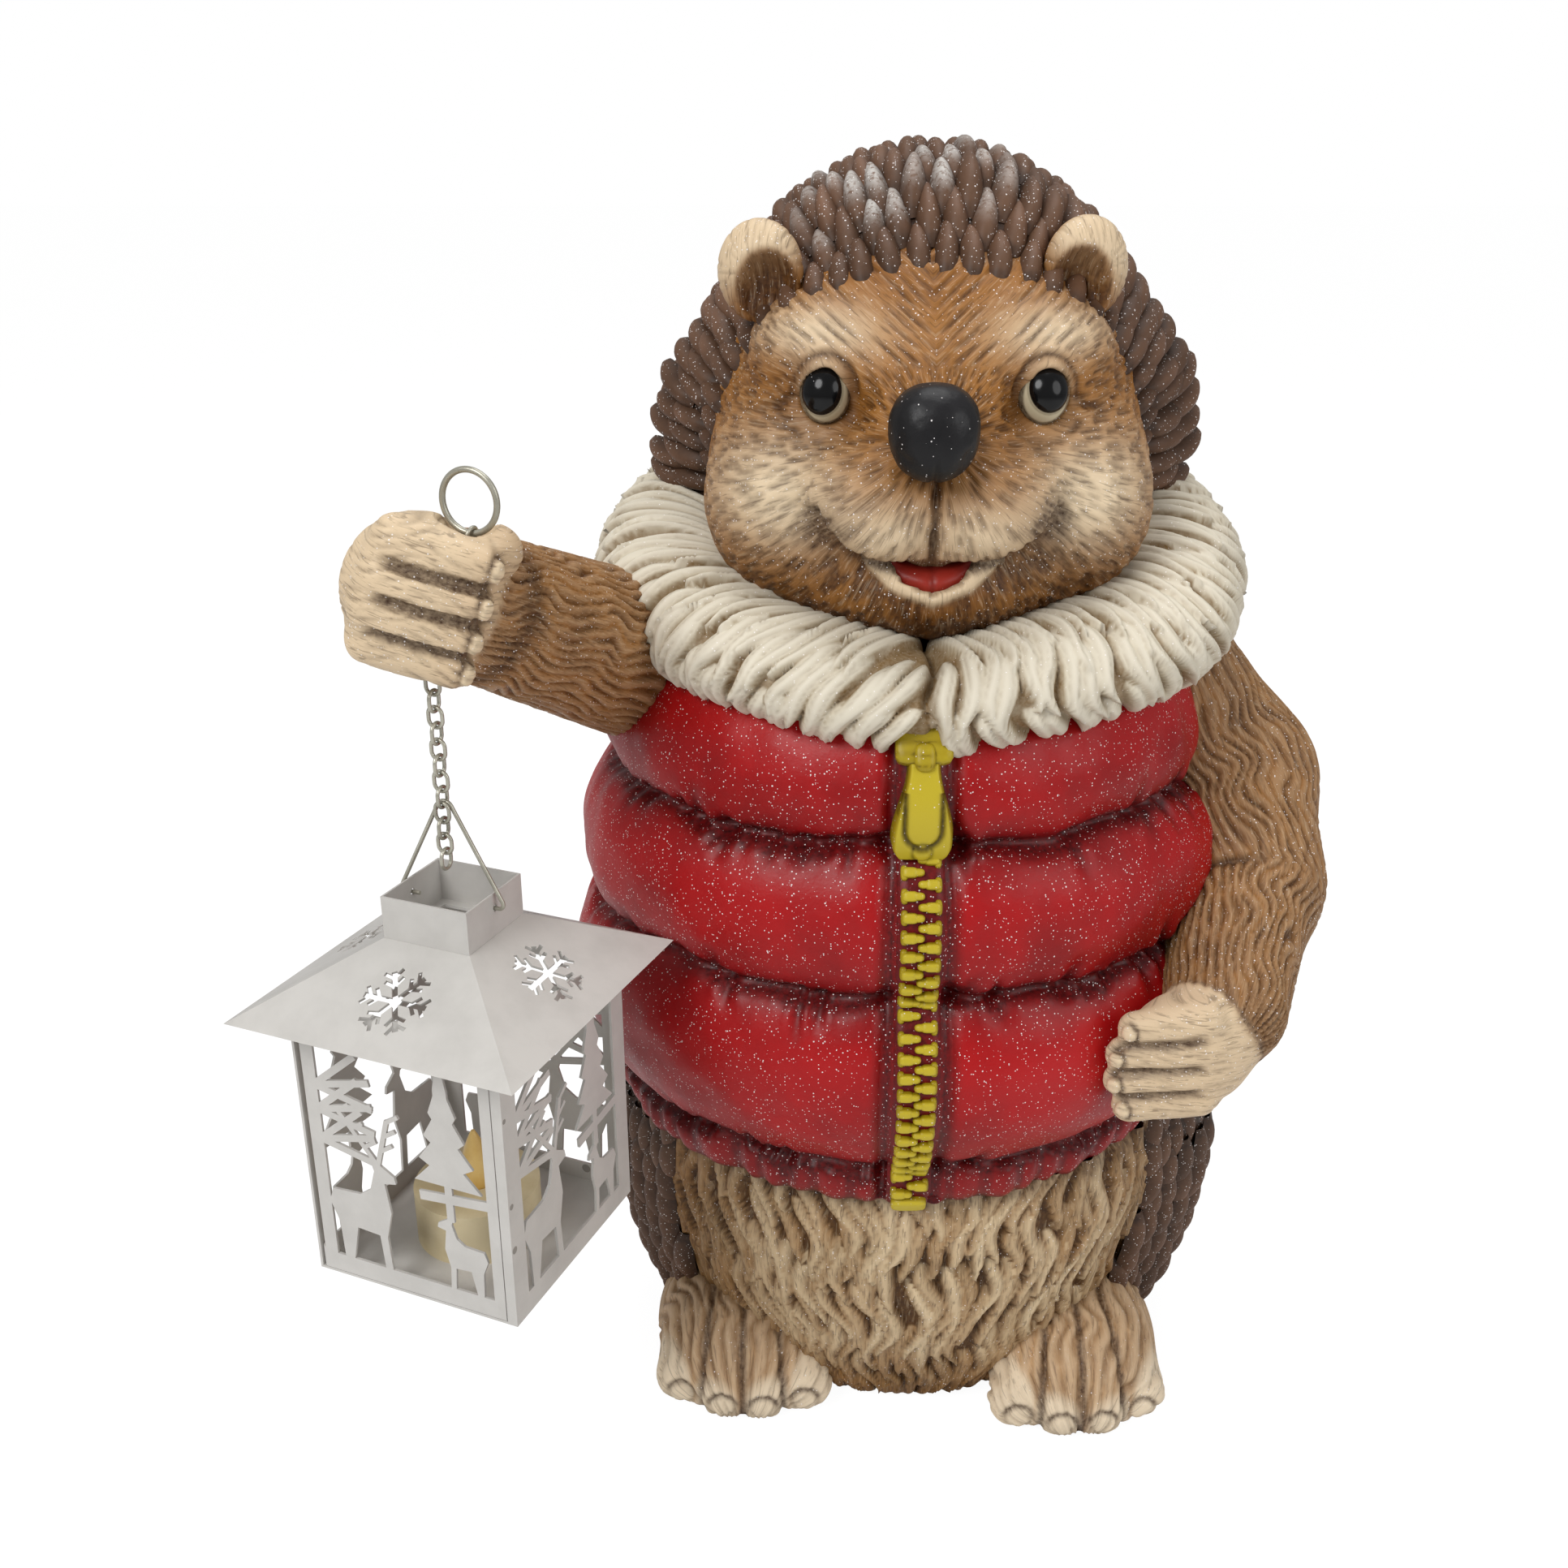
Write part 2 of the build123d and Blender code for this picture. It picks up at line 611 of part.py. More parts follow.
def ring_foot():
    """Middle of the ring's lowest wire, hooked into the top link of the bore."""
    top_wire = LINK_SPAN + (BORE_LINKS - 1) * LINK_PITCH
    return CHAIN_EXIT + BORE_DIR * (top_wire - RING_WIRE_R - LINK_WIRE_R - LINK_GAP)


def bore_chain():
    """Links inside the paw, alternately wide across two directions."""
    sides = (BORE_ACROSS, BORE_ACROSS.cross(BORE_DIR))
    return [
        placed_link(CHAIN_EXIT + BORE_DIR * (index * LINK_PITCH), sides[index % 2], BORE_DIR)
        for index in range(BORE_LINKS)
    ]


def hanging_chain():
    """Lowest wire of every hanging link, the loose tail included, with its wide direction."""
    places = []
    for index in range(1, HANGING_LINKS + 1):
        wide = ALONG if index % 2 else ACROSS
        places.append((CHAIN_EXIT - UP * (index * LINK_PITCH), wide))
    loose_foot = Vector(HANG_X, HANG_Y, LOOSE_TOP_Z - LINK_SPAN) - ACROSS * PAIR_STEP
    for index in range(LOOSE_LINKS):
        wide = ACROSS if index % 2 else ALONG
        places.append((loose_foot - UP * (index * LINK_PITCH), wide))
    return places


def pull_ring():
    """Round ring standing on the paw."""
    middle = ring_foot() + UP * RING_R
    return Plane(origin=middle, x_dir=ALONG, z_dir=ACROSS) * Torus(RING_R, RING_WIRE_R)


def bail():
    """Bent wire from one side of the lantern's cap to the other."""
    hook = CAP_W / 2 - BAIL_HOOK / 2
    points = [
        (-hook, 0, BAIL_HOLE_Z),
        (-BAIL_HALF, 0, BAIL_HOLE_Z),
        (0, 0, BAIL_HOLE_Z + BAIL_CORNER_RISE),
        (BAIL_HALF, 0, BAIL_HOLE_Z),
        (hook, 0, BAIL_HOLE_Z),
    ]
    path = FilletPolyline(*points, radius=[BAIL_FOOT_R, BAIL_APEX_R, BAIL_FOOT_R])
    return sweep((path ^ 0) * Circle(BAIL_WIRE_R), path=path)


def snowflake():
    """Six-armed snowflake with two pairs of twigs on each arm."""
    shape = Sketch()
    for arm in range(6):
        bar = Pos(FLAKE_R / 2, 0) * Rectangle(FLAKE_R, FLAKE_ARM_W)
        twig = Pos(FLAKE_TWIG_L / 2, 0) * Rectangle(FLAKE_TWIG_L, FLAKE_TWIG_W)
        for reach in FLAKE_TWIGS_AT:
            for slant in (-FLAKE_TWIG_SLANT, FLAKE_TWIG_SLANT):
                bar += Pos(reach, 0) * Rot(0, 0, slant) * twig
        shape += Rot(0, 0, 60 * arm) * bar
    return shape


def roof():
    """Pyramid roof of sheet with a vent on top and a snowflake cut in each face."""
    sides = [Rectangle(EAVE_W, EAVE_W), Pos(0, 0, ROOF_RISE) * Rectangle(ROOF_TOP_W, ROOF_TOP_W)]
    outer = loft(sides)
    shape = outer - Pos(0, 0, -ROOF_SKIN) * outer
    shape -= Pos(0, 0, ROOF_RISE / 2) * Box(ROOF_VENT_W, ROOF_VENT_W, ROOF_RISE * 2)
    run = (EAVE_W - ROOF_TOP_W) / 2
    slope = math.atan2(ROOF_RISE, run)
    face = Plane(
        origin=(0, -(EAVE_W - run) / 2, ROOF_RISE / 2),
        x_dir=(1, 0, 0),
        z_dir=(0, -math.sin(slope), math.cos(slope)),
    )
    flake = extrude(face * snowflake(), ROOF_SKIN * 2, both=True)
    for turn in range(4):
        shape -= Rot(0, 0, 90 * turn) * flake
    return shape


def cap():
    """Open square collar on the roof with a hole each side for the bail."""
    inner = CAP_W - 2 * CAP_SHEET
    shape = Box(CAP_W, CAP_W, CAP_H, align=LOW) - Box(inner, inner, CAP_H, align=LOW)
    hole = Pos(0, 0, CAP_H - BAIL_HOLE_DROP) * Rot(0, 90, 0) * Cylinder(BAIL_HOLE_R, CAP_W * 2)
    return Pos(0, 0, ROOF_RISE) * (shape - hole)


def stroke(points, width):
    """Flat bar along a bent line."""
    shape = Sketch()
    for start, end in zip(points, points[1:]):
        middle = ((start[0] + end[0]) / 2, (start[1] + end[1]) / 2)
        length = math.dist(start, end) + width / 2
        angle = math.degrees(math.atan2(end[1] - start[1], end[0] - start[0]))
        shape += Pos(*middle) * Rot(0, 0, angle) * Rectangle(length, width)
    return shape


def deer(x, low, size, facing, antlers):
    """Standing deer with its feet sunk into the panel's lower border."""
    points = [(px * facing * size + x, py * size + low) for px, py in DEER_OUTLINE]
    shape = make_face(Polyline(*points, close=True))
    if not antlers:
        return shape
    foot = (x + ANTLER_FOOT[0] * facing * size, ANTLER_FOOT[1] * size + low)
    for lean in ANTLER_LEANS:
        knots = [
            (foot[0] + facing * lean * size * step, foot[1] + ANTLER_STEP * size * step)
            for step in range(ANTLER_KNOTS + 1)
        ]
        shape += stroke(knots, ANTLER_W)
        for knot in knots[1:]:
            tip = (knot[0] - facing * TINE[0] * size, knot[1] + TINE[1] * size)
            shape += stroke([knot, tip], TINE_W)
    return shape


def fir_tree(x, low, high, half):
    """Fir with saw-edged tiers on a short trunk."""
    step = (high - low) / FIR_TIERS
    right = []
    for tier in range(FIR_TIERS):
        reach = half * (1 - tier / FIR_TIERS)
        right.append((reach, low + step * tier))
        right.append((reach / 2, low + step * (tier + FIR_NOTCH_RISE)))
    left = [(-px, py) for px, py in reversed(right)]
    points = [(px + x, py) for px, py in right + [(0, high)] + left]
    trunk = Pos(x, low - step / 2) * Rectangle(TRUNK_W, 2 * step)
    return make_face(Polyline(*points, close=True)) + trunk


def branches(x, low):
    """Three fans of bare twigs growing from the panel's edge."""
    shape = Sketch()
    for rise in TWIG_RISES:
        root = (x, low + rise)
        for lean in TWIG_SLANTS:
            slant = math.radians(lean)
            tip = (x + TWIG_L * math.cos(slant), root[1] + TWIG_L * math.sin(slant))
            shape += stroke([root, tip], TWIG_W)
    return shape


def fret_panel(low, high, left, right):
    """Flat panel pierced round deer, a fir and twigs: x from its middle, y from the lantern's foot."""
    plate = Pos((left + right) / 2, (low + high) / 2) * Rectangle(right - left, high - low)
    width = BODY_W - 2 * BORDER
    top = BODY_H - BORDER
    window = Pos(0, (BORDER + top) / 2) * Rectangle(width, top - BORDER)
    figures = deer(STAG_X, BORDER, STAG_SIZE, -1, True)
    figures += deer(FAWN_X, BORDER, FAWN_SIZE, 1, False)
    hill = BORDER + HILL_H
    figures += stroke([(HILL_X, hill), (width / 2 + SINK, hill + HILL_RISE)], HILL_W)
    figures += fir_tree(FIR_X, hill + FIR_FOOT, top + SINK, FIR_HALF)
    figures += branches(-width / 2 - SINK, BORDER)
    return plate - (window - figures)


def wall_panel(low, high, left, right, side):
    """Pierced panel on one side of the lantern, counted round from the door."""
    front = Plane(origin=(0, -HALF, -BODY_H), x_dir=(1, 0, 0), z_dir=(0, -1, 0))
    sheet = extrude(front * fret_panel(low, high, left, right), -SHEET)
    return Rot(0, 0, 90 * side) * sheet


def right_panel():
    """Panel beside the door, with the folded flange that the door closes against."""
    panel = wall_panel(0, BODY_H + WALL_TOP, -HALF, HALF, 1)
    height = BODY_H - SHEET + LINTEL_BOTTOM - SILL_GAP
    flange = Box(CORNER_FLANGE, SHEET, height, align=(Align.MAX, Align.MIN, Align.MIN))
    return panel + Pos(HALF - SHEET, -HALF, FLOOR_Z) * flange


def door():
    """Pierced door with two rolled knuckles round the hinge pin."""
    low = SHEET + SILL_GAP
    high = BODY_H + LINTEL_BOTTOM - SILL_GAP
    right = HALF - SHEET - CORNER_FLANGE - DOOR_GAP
    shape = wall_panel(low, high, HINGE_X, right, 0)
    for foot_z in (low, high - KNUCKLE_H):
        knuckle = Pos(HINGE_X, HINGE_Y, foot_z - BODY_H) * Cylinder(KNUCKLE_R, KNUCKLE_H, align=LOW)
        shape += knuckle
    return shape - Pos(HINGE_X, HINGE_Y, 0) * Cylinder(HINGE_R + HINGE_PLAY, 2 * BIG)


def lintel():
    """Strip above the door with an ear that holds the hinge pin's top."""
    height = WALL_TOP - LINTEL_BOTTOM
    strip = Pos(0, -HALF, LINTEL_BOTTOM) * Box(
        BODY_W - 2 * SHEET, SHEET, height, align=(Align.CENTER, Align.MIN, Align.MIN)
    )
    ear_l = 2 * KNUCKLE_R
    ear_block = Box(ear_l, ear_l, SHEET, align=(Align.CENTER, Align.MIN, Align.MIN))
    return strip + Pos(HINGE_X, -HALF, LINTEL_BOTTOM) * ear_block


def floor_plate():
    """Bottom sheet between the panels, reaching forward as the door's sill."""
    width = BODY_W - 2 * SHEET
    depth = BODY_W - SHEET
    return Pos(0, -HALF, -BODY_H) * Box(width, depth, SHEET, align=(Align.CENTER, Align.MIN, Align.MIN))


def hinge_pin():
    """Straight pin from the floor plate to the lintel's ear."""
    length = BODY_H - SHEET + LINTEL_BOTTOM
    return Pos(HINGE_X, HINGE_Y, FLOOR_Z) * Cylinder(HINGE_R, length, align=LOW)


def tea_light():
    """Battery tea light standing on the floor plate: cup, flame, lamp, cell and cell lid."""
    floor = CUP_FOOT_H + CUP_WALL
    cup = Cylinder(CUP_R, CUP_H, align=LOW)
    cup -= Cylinder(CUP_R - CUP_FOOT_W, CUP_FOOT_H, align=LOW)
    cup -= Pos(0, 0, floor) * Cylinder(CUP_R - CUP_WALL, CUP_H - floor - CUP_WALL, align=LOW)
    cup -= Cylinder(FLAME_R + FIT, CUP_H, align=LOW)
    cup -= Cylinder(CELL_R + FIT, floor, align=LOW)
    slot_l = SWITCH_L + SWITCH_TRAVEL + 2 * SWITCH_PLAY
    slot = Box(SWITCH_W + 2 * SWITCH_PLAY, slot_l, floor, align=LOW)
    cup -= Pos(SWITCH_OUT, 0, 0) * slot
    lid = Pos(0, 0, CUP_FOOT_H - LID_H) * Cylinder(LID_R, LID_H, align=LOW)
    cell = Pos(0, 0, CUP_FOOT_H) * Cylinder(CELL_R, CELL_H, align=LOW)
    lamp_foot = CUP_FOOT_H + CELL_H
    lamp_z = CUP_H - CUP_WALL
    lamp = Pos(0, 0, lamp_foot) * Cylinder(LED_R / 2, lamp_z - lamp_foot, align=LOW)
    lamp += Pos(0, 0, lamp_z) * Cylinder(LED_R, LED_H - LED_R, align=LOW)
    lamp += Pos(0, 0, lamp_z + LED_H - LED_R) * Sphere(LED_R)
    tip = (FLAME_TIP_R, 0, FLAME_H)
    side = ThreePointArc((FLAME_R, 0, 0), (FLAME_WAIST_R, 0, FLAME_H / 2), tip)
    flame = revolve(make_face([side, Polyline(side @ 1, (0, 0, FLAME_H), (0, 0, 0), side @ 0)]), Axis.Z)
    flame += Pos(0, 0, -FLAME_RIM_H) * Cylinder(FLAME_R + 2 * FIT + FLAME_RIM_H, FLAME_RIM_H, align=LOW)
    flame = Pos(0, 0, CUP_H - CUP_WALL) * flame
    flame -= Pos(0, 0, lamp_foot) * Cylinder(LED_R + FIT, lamp_z + LED_H - LED_R - lamp_foot, align=LOW)
    flame -= Pos(0, 0, lamp_z + LED_H - LED_R) * Sphere(LED_R + FIT)
    return {
        "tealight_cup": cup,
        "tealight_flame": flame,
        "tealight_lamp": lamp,
        "tealight_cell": cell,
        "tealight_lid": lid,
    }


def tea_light_switch():
    """Slide switch hanging through its slot in the cup's floor, at the end of its travel."""
    floor = CUP_FOOT_H + CUP_WALL
    stem = Pos(0, 0, floor - SWITCH_H) * Box(SWITCH_W, SWITCH_L, SWITCH_H, align=LOW)
    neck = Pos(0, 0, floor) * Box(SWITCH_W, SWITCH_L, SWITCH_LIFT, align=LOW)
    lip = Box(SWITCH_W + 2 * SWITCH_LIP_W, SWITCH_L + 2 * SWITCH_LIP_L, CUP_WALL, align=LOW)
    block = stem + neck + Pos(0, 0, floor + SWITCH_LIFT) * lip
    return Pos(SWITCH_OUT, -SWITCH_TRAVEL / 2, 0) * block


def figure():
    """Every piece of the hedgehog itself, each cut back to the pieces that it sits on."""
    belly_block = belly_outline(0, 0, BELLY_H)
    vest_block = vest_outline(0)
    head = head_solid()
    collar = biggest(fur_collar() - vest_block - head)
    quills = crown(head, collar)
    tape = biggest(zip_tape(vest_block, collar))
    feet = [foot(side, y, belly_block) for side, y in zip((-1, 1), FOOT_Y)]
    coat = belly_outline(BACK_QUILL_DEPTH, BACK_QUILL_Z, BELLY_H) - belly_block
    coat &= Pos(0, BACK_QUILL_Y, 0) * Box(BIG, BIG, BIG, align=(Align.CENTER, Align.MIN, Align.MIN))
    for each in feet:
        coat -= each
    vest = vest_block - vest_room()
    vest -= Pos(0, 0, VEST_TOP_Z - WALL) * Cylinder(NECK_R + FIT, WALL, align=LOW)
    for side, y in ((-1, RAISED_SHOULDER_Y), (1, 0)):
        vest -= shoulder_peg(side, y) * Cylinder(PEG_R + FIT, BIG / 4, align=LOW)
    pieces = {
        "belly": belly(),
        "vest": vest,
        "zip_tape": tape,
        "zip_slider": zip_slider(vest_block, collar, tape),
        "collar": collar,
        "head_quills": quills,
        "back_quills": coat,
        "foot_right": feet[0],
        "foot_left": feet[1],
        "arm_raised": raised_arm([vest_block, collar, head]),
        "arm_resting": resting_arm([vest_block, collar, head]),
    }
    inserts = {
        "nose": (from_head(0, NOSE_FORWARD, NOSE_RISE), NOSE_RADII),
        "mouth": (from_head(0, MOUTH_FORWARD, -MOUTH_DROP), MOUTH_RADII),
    }
    for name, side in (("right", -1), ("left", 1)):
        pieces["ear_" + name] = ear(side, head)
        inserts["eye_" + name] = (from_head(side * EYE_OUT, EYE_FORWARD, EYE_RISE), EYE_RADII)
    for name, (place, radii) in inserts.items():
        pieces[name] = ellipsoid(place, radii)
        head -= ellipsoid(place, [radius + SOCKET_FIT for radius in radii])
    pieces["head"] = head - head_room()
    return pieces


def lantern():
    """Every piece of the lantern, the bail included, where it hangs."""
    pieces = {
        "bail": bail(),
        "lantern_cap": cap(),
        "lantern_roof": roof(),
        "lantern_lintel": lintel(),
        "lantern_right_panel": right_panel(),
        "lantern_back_panel": wall_panel(0, BODY_H + WALL_TOP, -HALF + SHEET, HALF - SHEET, 2),
        "lantern_left_panel": wall_panel(0, BODY_H + WALL_TOP, -HALF, HALF, 3),
        "lantern_floor": floor_plate(),
        "lantern_door": door(),
        "door_hinge_pin": hinge_pin(),
    }
    for name, piece in {**tea_light(), "tealight_switch": tea_light_switch()}.items():
        pieces[name] = Pos(0, 0, FLOOR_Z) * piece
    return {name: LANTERN * piece for name, piece in pieces.items()}


def chain():
    """Ring, links in the paw and links that hang below it."""
    pieces = {"pull_ring": pull_ring(), "chain_in_paw": Compound(bore_chain())}
    for index, (bottom, wide) in enumerate(hanging_chain(), start=1):
        pieces[f"chain_link_{index:02d}"] = placed_link(bottom, wide, UP)
    return pieces


def joint_points():
    """Pivot of each moving piece, with the axis that it turns or slides along."""
    places = hanging_chain()
    joints = {"pull_ring": (ring_foot(), ALONG)}
    pivot, axis = CHAIN_EXIT, BORE_ACROSS
    for index, (bottom, wide) in enumerate(places, start=1):
        if index == HANGING_LINKS + 1:
            pivot, axis = places[HANGING_LINKS - 1]
        joints[f"chain_link_{index:02d}"] = (pivot, axis)
        pivot, axis = bottom, wide
    joints["bail"] = places[HANGING_LINKS - 1]
    hole = LANTERN * Pos(0, 0, BAIL_HOLE_Z)
    joints["lantern"] = (hole.position, ALONG)
    joints["door"] = ((LANTERN * Pos(HINGE_X, HINGE_Y, FLOOR_Z)).position, UP)
    joints["tealight"] = ((LANTERN * Pos(0, 0, FLOOR_Z)).position, UP)
    switch = LANTERN * Pos(SWITCH_OUT, -SWITCH_TRAVEL / 2, FLOOR_Z + CUP_FOOT_H)
    joints["switch"] = (switch.position, ACROSS)
    return joints


def main():
    """Builds every piece, writes it out and prints the pivots of the moving ones."""
    os.makedirs("parts", exist_ok=True)
    for name, piece in {**figure(), **chain(), **lantern()}.items():
        export_step(piece, f"parts/{name}.step")
    for name, (pivot, axis) in joint_points().items():
        print("pivot", name, json.dumps([[round(v, 6) for v in tuple(each)] for each in (pivot, axis)]))


if __name__ == "__main__":
    main()
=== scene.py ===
import math

import bpy
import numpy as np
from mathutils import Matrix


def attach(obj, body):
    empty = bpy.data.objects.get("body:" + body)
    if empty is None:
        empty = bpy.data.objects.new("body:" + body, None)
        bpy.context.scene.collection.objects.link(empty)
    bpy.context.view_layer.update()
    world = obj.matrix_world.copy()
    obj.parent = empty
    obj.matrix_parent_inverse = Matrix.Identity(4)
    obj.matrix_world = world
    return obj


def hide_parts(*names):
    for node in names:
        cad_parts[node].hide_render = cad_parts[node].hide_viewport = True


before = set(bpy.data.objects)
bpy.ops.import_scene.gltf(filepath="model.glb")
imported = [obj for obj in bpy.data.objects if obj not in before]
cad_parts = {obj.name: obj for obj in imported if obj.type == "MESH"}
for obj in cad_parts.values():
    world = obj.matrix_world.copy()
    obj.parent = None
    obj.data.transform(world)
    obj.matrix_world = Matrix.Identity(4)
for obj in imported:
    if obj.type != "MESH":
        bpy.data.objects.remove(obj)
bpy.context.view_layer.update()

# Hedgehog figurine with a lantern. Shapes are worked out in millimetres and written in metres.
MM = 0.001
scene = bpy.context.scene


# Numbers that repeat from run to run


def hashed(*keys):
    """Share from 0 to 1 for whole-number keys."""
    total = 0.0
    for key, factor in zip(keys, (12.9898, 78.233, 37.719, 94.673)):
        total = total + np.asarray(key, float) * factor
    value = np.sin(total) * 43758.5453
    return value - np.floor(value)


def noise(points, size, seed=0):
    """Smooth noise from -1 to 1 at points, with cells of that size."""
    scaled = points / size
    cell = np.floor(scaled)
    part = scaled - cell
    part = part * part * (3 - 2 * part)
    total = np.zeros(len(points))
    for dx in (0, 1):
        for dy in (0, 1):
            for dz in (0, 1):
                weight = (
                    (part[:, 0] if dx else 1 - part[:, 0])
                    * (part[:, 1] if dy else 1 - part[:, 1])
                    * (part[:, 2] if dz else 1 - part[:, 2])
                )
                total += weight * hashed(cell[:, 0] + dx, cell[:, 1] + dy, cell[:, 2] + dz, seed)
    return total * 2 - 1


def step(low, high, value):
    """Soft step from 0 at low to 1 at high."""
    share = np.clip((value - low) / (high - low), 0, 1)
    return share * share * (3 - 2 * share)


def bump(value, middle, width):
    """Bell of height 1 round middle."""
    return np.exp(-(((value - middle) / width) ** 2))


def unit(ways):
    """Directions at length 1."""
    return ways / np.linalg.norm(ways, axis=-1, keepdims=True)


def carve(across, along, pitch, length, seed, groove, gaps):
    """Carved strokes: rounded ridges between grooves that start and stop. Returns ridge and cut, 0 to 1."""
    lane = across / pitch
    line = np.round(lane)
    reach = np.abs(lane - line) * pitch
    run = along / length + 9 * hashed(line, seed)
    stretch = np.floor(run)
    share = run - stretch
    there = hashed(line, stretch, seed + 1) > gaps
    depth = there * np.sin(np.pi * share) ** 0.6 * (0.55 + 0.45 * hashed(line, stretch, seed + 2))
    inner = lane - np.floor(lane)
    ridge = 1 - (2 * inner - 1) ** 2
    return ridge, depth * bump(reach, 0, groove)


# Meshes


def sheet_faces(rows, columns, closed):
    """Quads of a grid of points, row by row, closed round its columns or not."""
    r, c = np.meshgrid(np.arange(rows - 1), np.arange(columns if closed else columns - 1), indexing="ij")
    right = (c + 1) % columns
    here = r * columns
    above = here + columns
    return np.stack([here + c, here + right, above + right, above + c], -1).reshape(-1, 4)


def grid_normals(grid):
    """Outward side of a grid of points that closes round its columns, from its neighbours."""
    side = np.roll(grid, -1, 1) - np.roll(grid, 1, 1)
    normal = np.cross(side, np.gradient(grid, axis=0))
    return normal / np.maximum(np.linalg.norm(normal, axis=-1, keepdims=True), 1e-9)


def wrapped(low, high, rows, columns):
    """Heights and angles of a sheet of points that closes round the figure."""
    angle = np.linspace(-np.pi, np.pi, columns, endpoint=False)[None, :]
    z = np.linspace(low, high, rows)[:, None]
    return z + np.zeros_like(angle), angle + np.zeros_like(z)


def pad(mark, before, after):
    """Values of a sheet with its first and last rows repeated."""
    return np.concatenate([mark[:1]] * before + [mark] + [mark[-1:]] * after)


def gather(parts):
    """One mesh's points and faces from several."""
    points, faces, count = [], [], 0
    for part_points, part_faces in parts:
        points.append(part_points)
        faces.append(part_faces + count)
        count += len(part_points)
    return np.concatenate(points), np.concatenate(faces)


def build(name, points, faces, material, nodes, slot, flow=None, **marks):
    """Smooth mesh piece on the figure that stands for CAD nodes. Each mark has a value from 0 to 1
    for a point; flow is the place across and along the fur."""
    mesh = bpy.data.meshes.new(name)
    mesh.from_pydata((np.asarray(points) * MM).tolist(), [], np.asarray(faces).tolist())
    for mark, values in marks.items():
        layer = mesh.attributes.new(mark, "FLOAT", "POINT")
        layer.data.foreach_set("value", np.clip(values, 0, 1).astype(np.float32).ravel())
    if flow is not None:
        layer = mesh.attributes.new("flow", "FLOAT_VECTOR", "POINT")
        lines = np.stack([flow[0].ravel(), flow[1].ravel(), np.zeros(flow[0].size)], -1)
        layer.data.foreach_set("vector", lines.astype(np.float32).ravel())
    mesh.validate()
    mesh.shade_smooth()
    piece = bpy.data.objects.new(name, mesh)
    scene.collection.objects.link(piece)
    mesh.materials.append(material)
    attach(piece, "figure")
    if nodes:
        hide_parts(*nodes)


# Shapes given by distance, and their skins


def ellipsoid(points, center, radii):
    """Distance to a stretched ball."""
    radii = np.asarray(radii, float)
    local = (points - np.asarray(center, float)) / radii
    first = np.linalg.norm(local, axis=1)
    second = np.linalg.norm(local / radii, axis=1)
    return first * (first - 1) / np.maximum(second, 1e-9)


def bar(points, start, end, start_r, end_r):
    """Distance to a round bar that tapers between two round ends."""
    start = np.asarray(start, float)
    line = np.asarray(end, float) - start
    local = points - start
    share = np.clip(local @ line / (line @ line), 0, 1)
    return np.linalg.norm(local - share[:, None] * line, axis=1) - (start_r + (end_r - start_r) * share)


def merge(a, b, soft):
    """Union of two distances with a rounded joint."""
    blend = np.maximum(soft - np.abs(a - b), 0) / soft
    return np.minimum(a, b) - blend * blend * soft / 4


def cut_away(a, b, soft):
    """First shape without the second, with a rounded edge."""
    return -merge(-a, b, soft)


def slope(shape, points):
    """Outward direction of a distance at points."""
    gap = 0.05
    parts = []
    for axis in range(3):
        shift = np.zeros(3)
        shift[axis] = gap
        parts.append(shape(points + shift) - shape(points - shift))
    grad = np.stack(parts, -1)
    return grad / np.maximum(np.linalg.norm(grad, axis=1, keepdims=True), 1e-9)


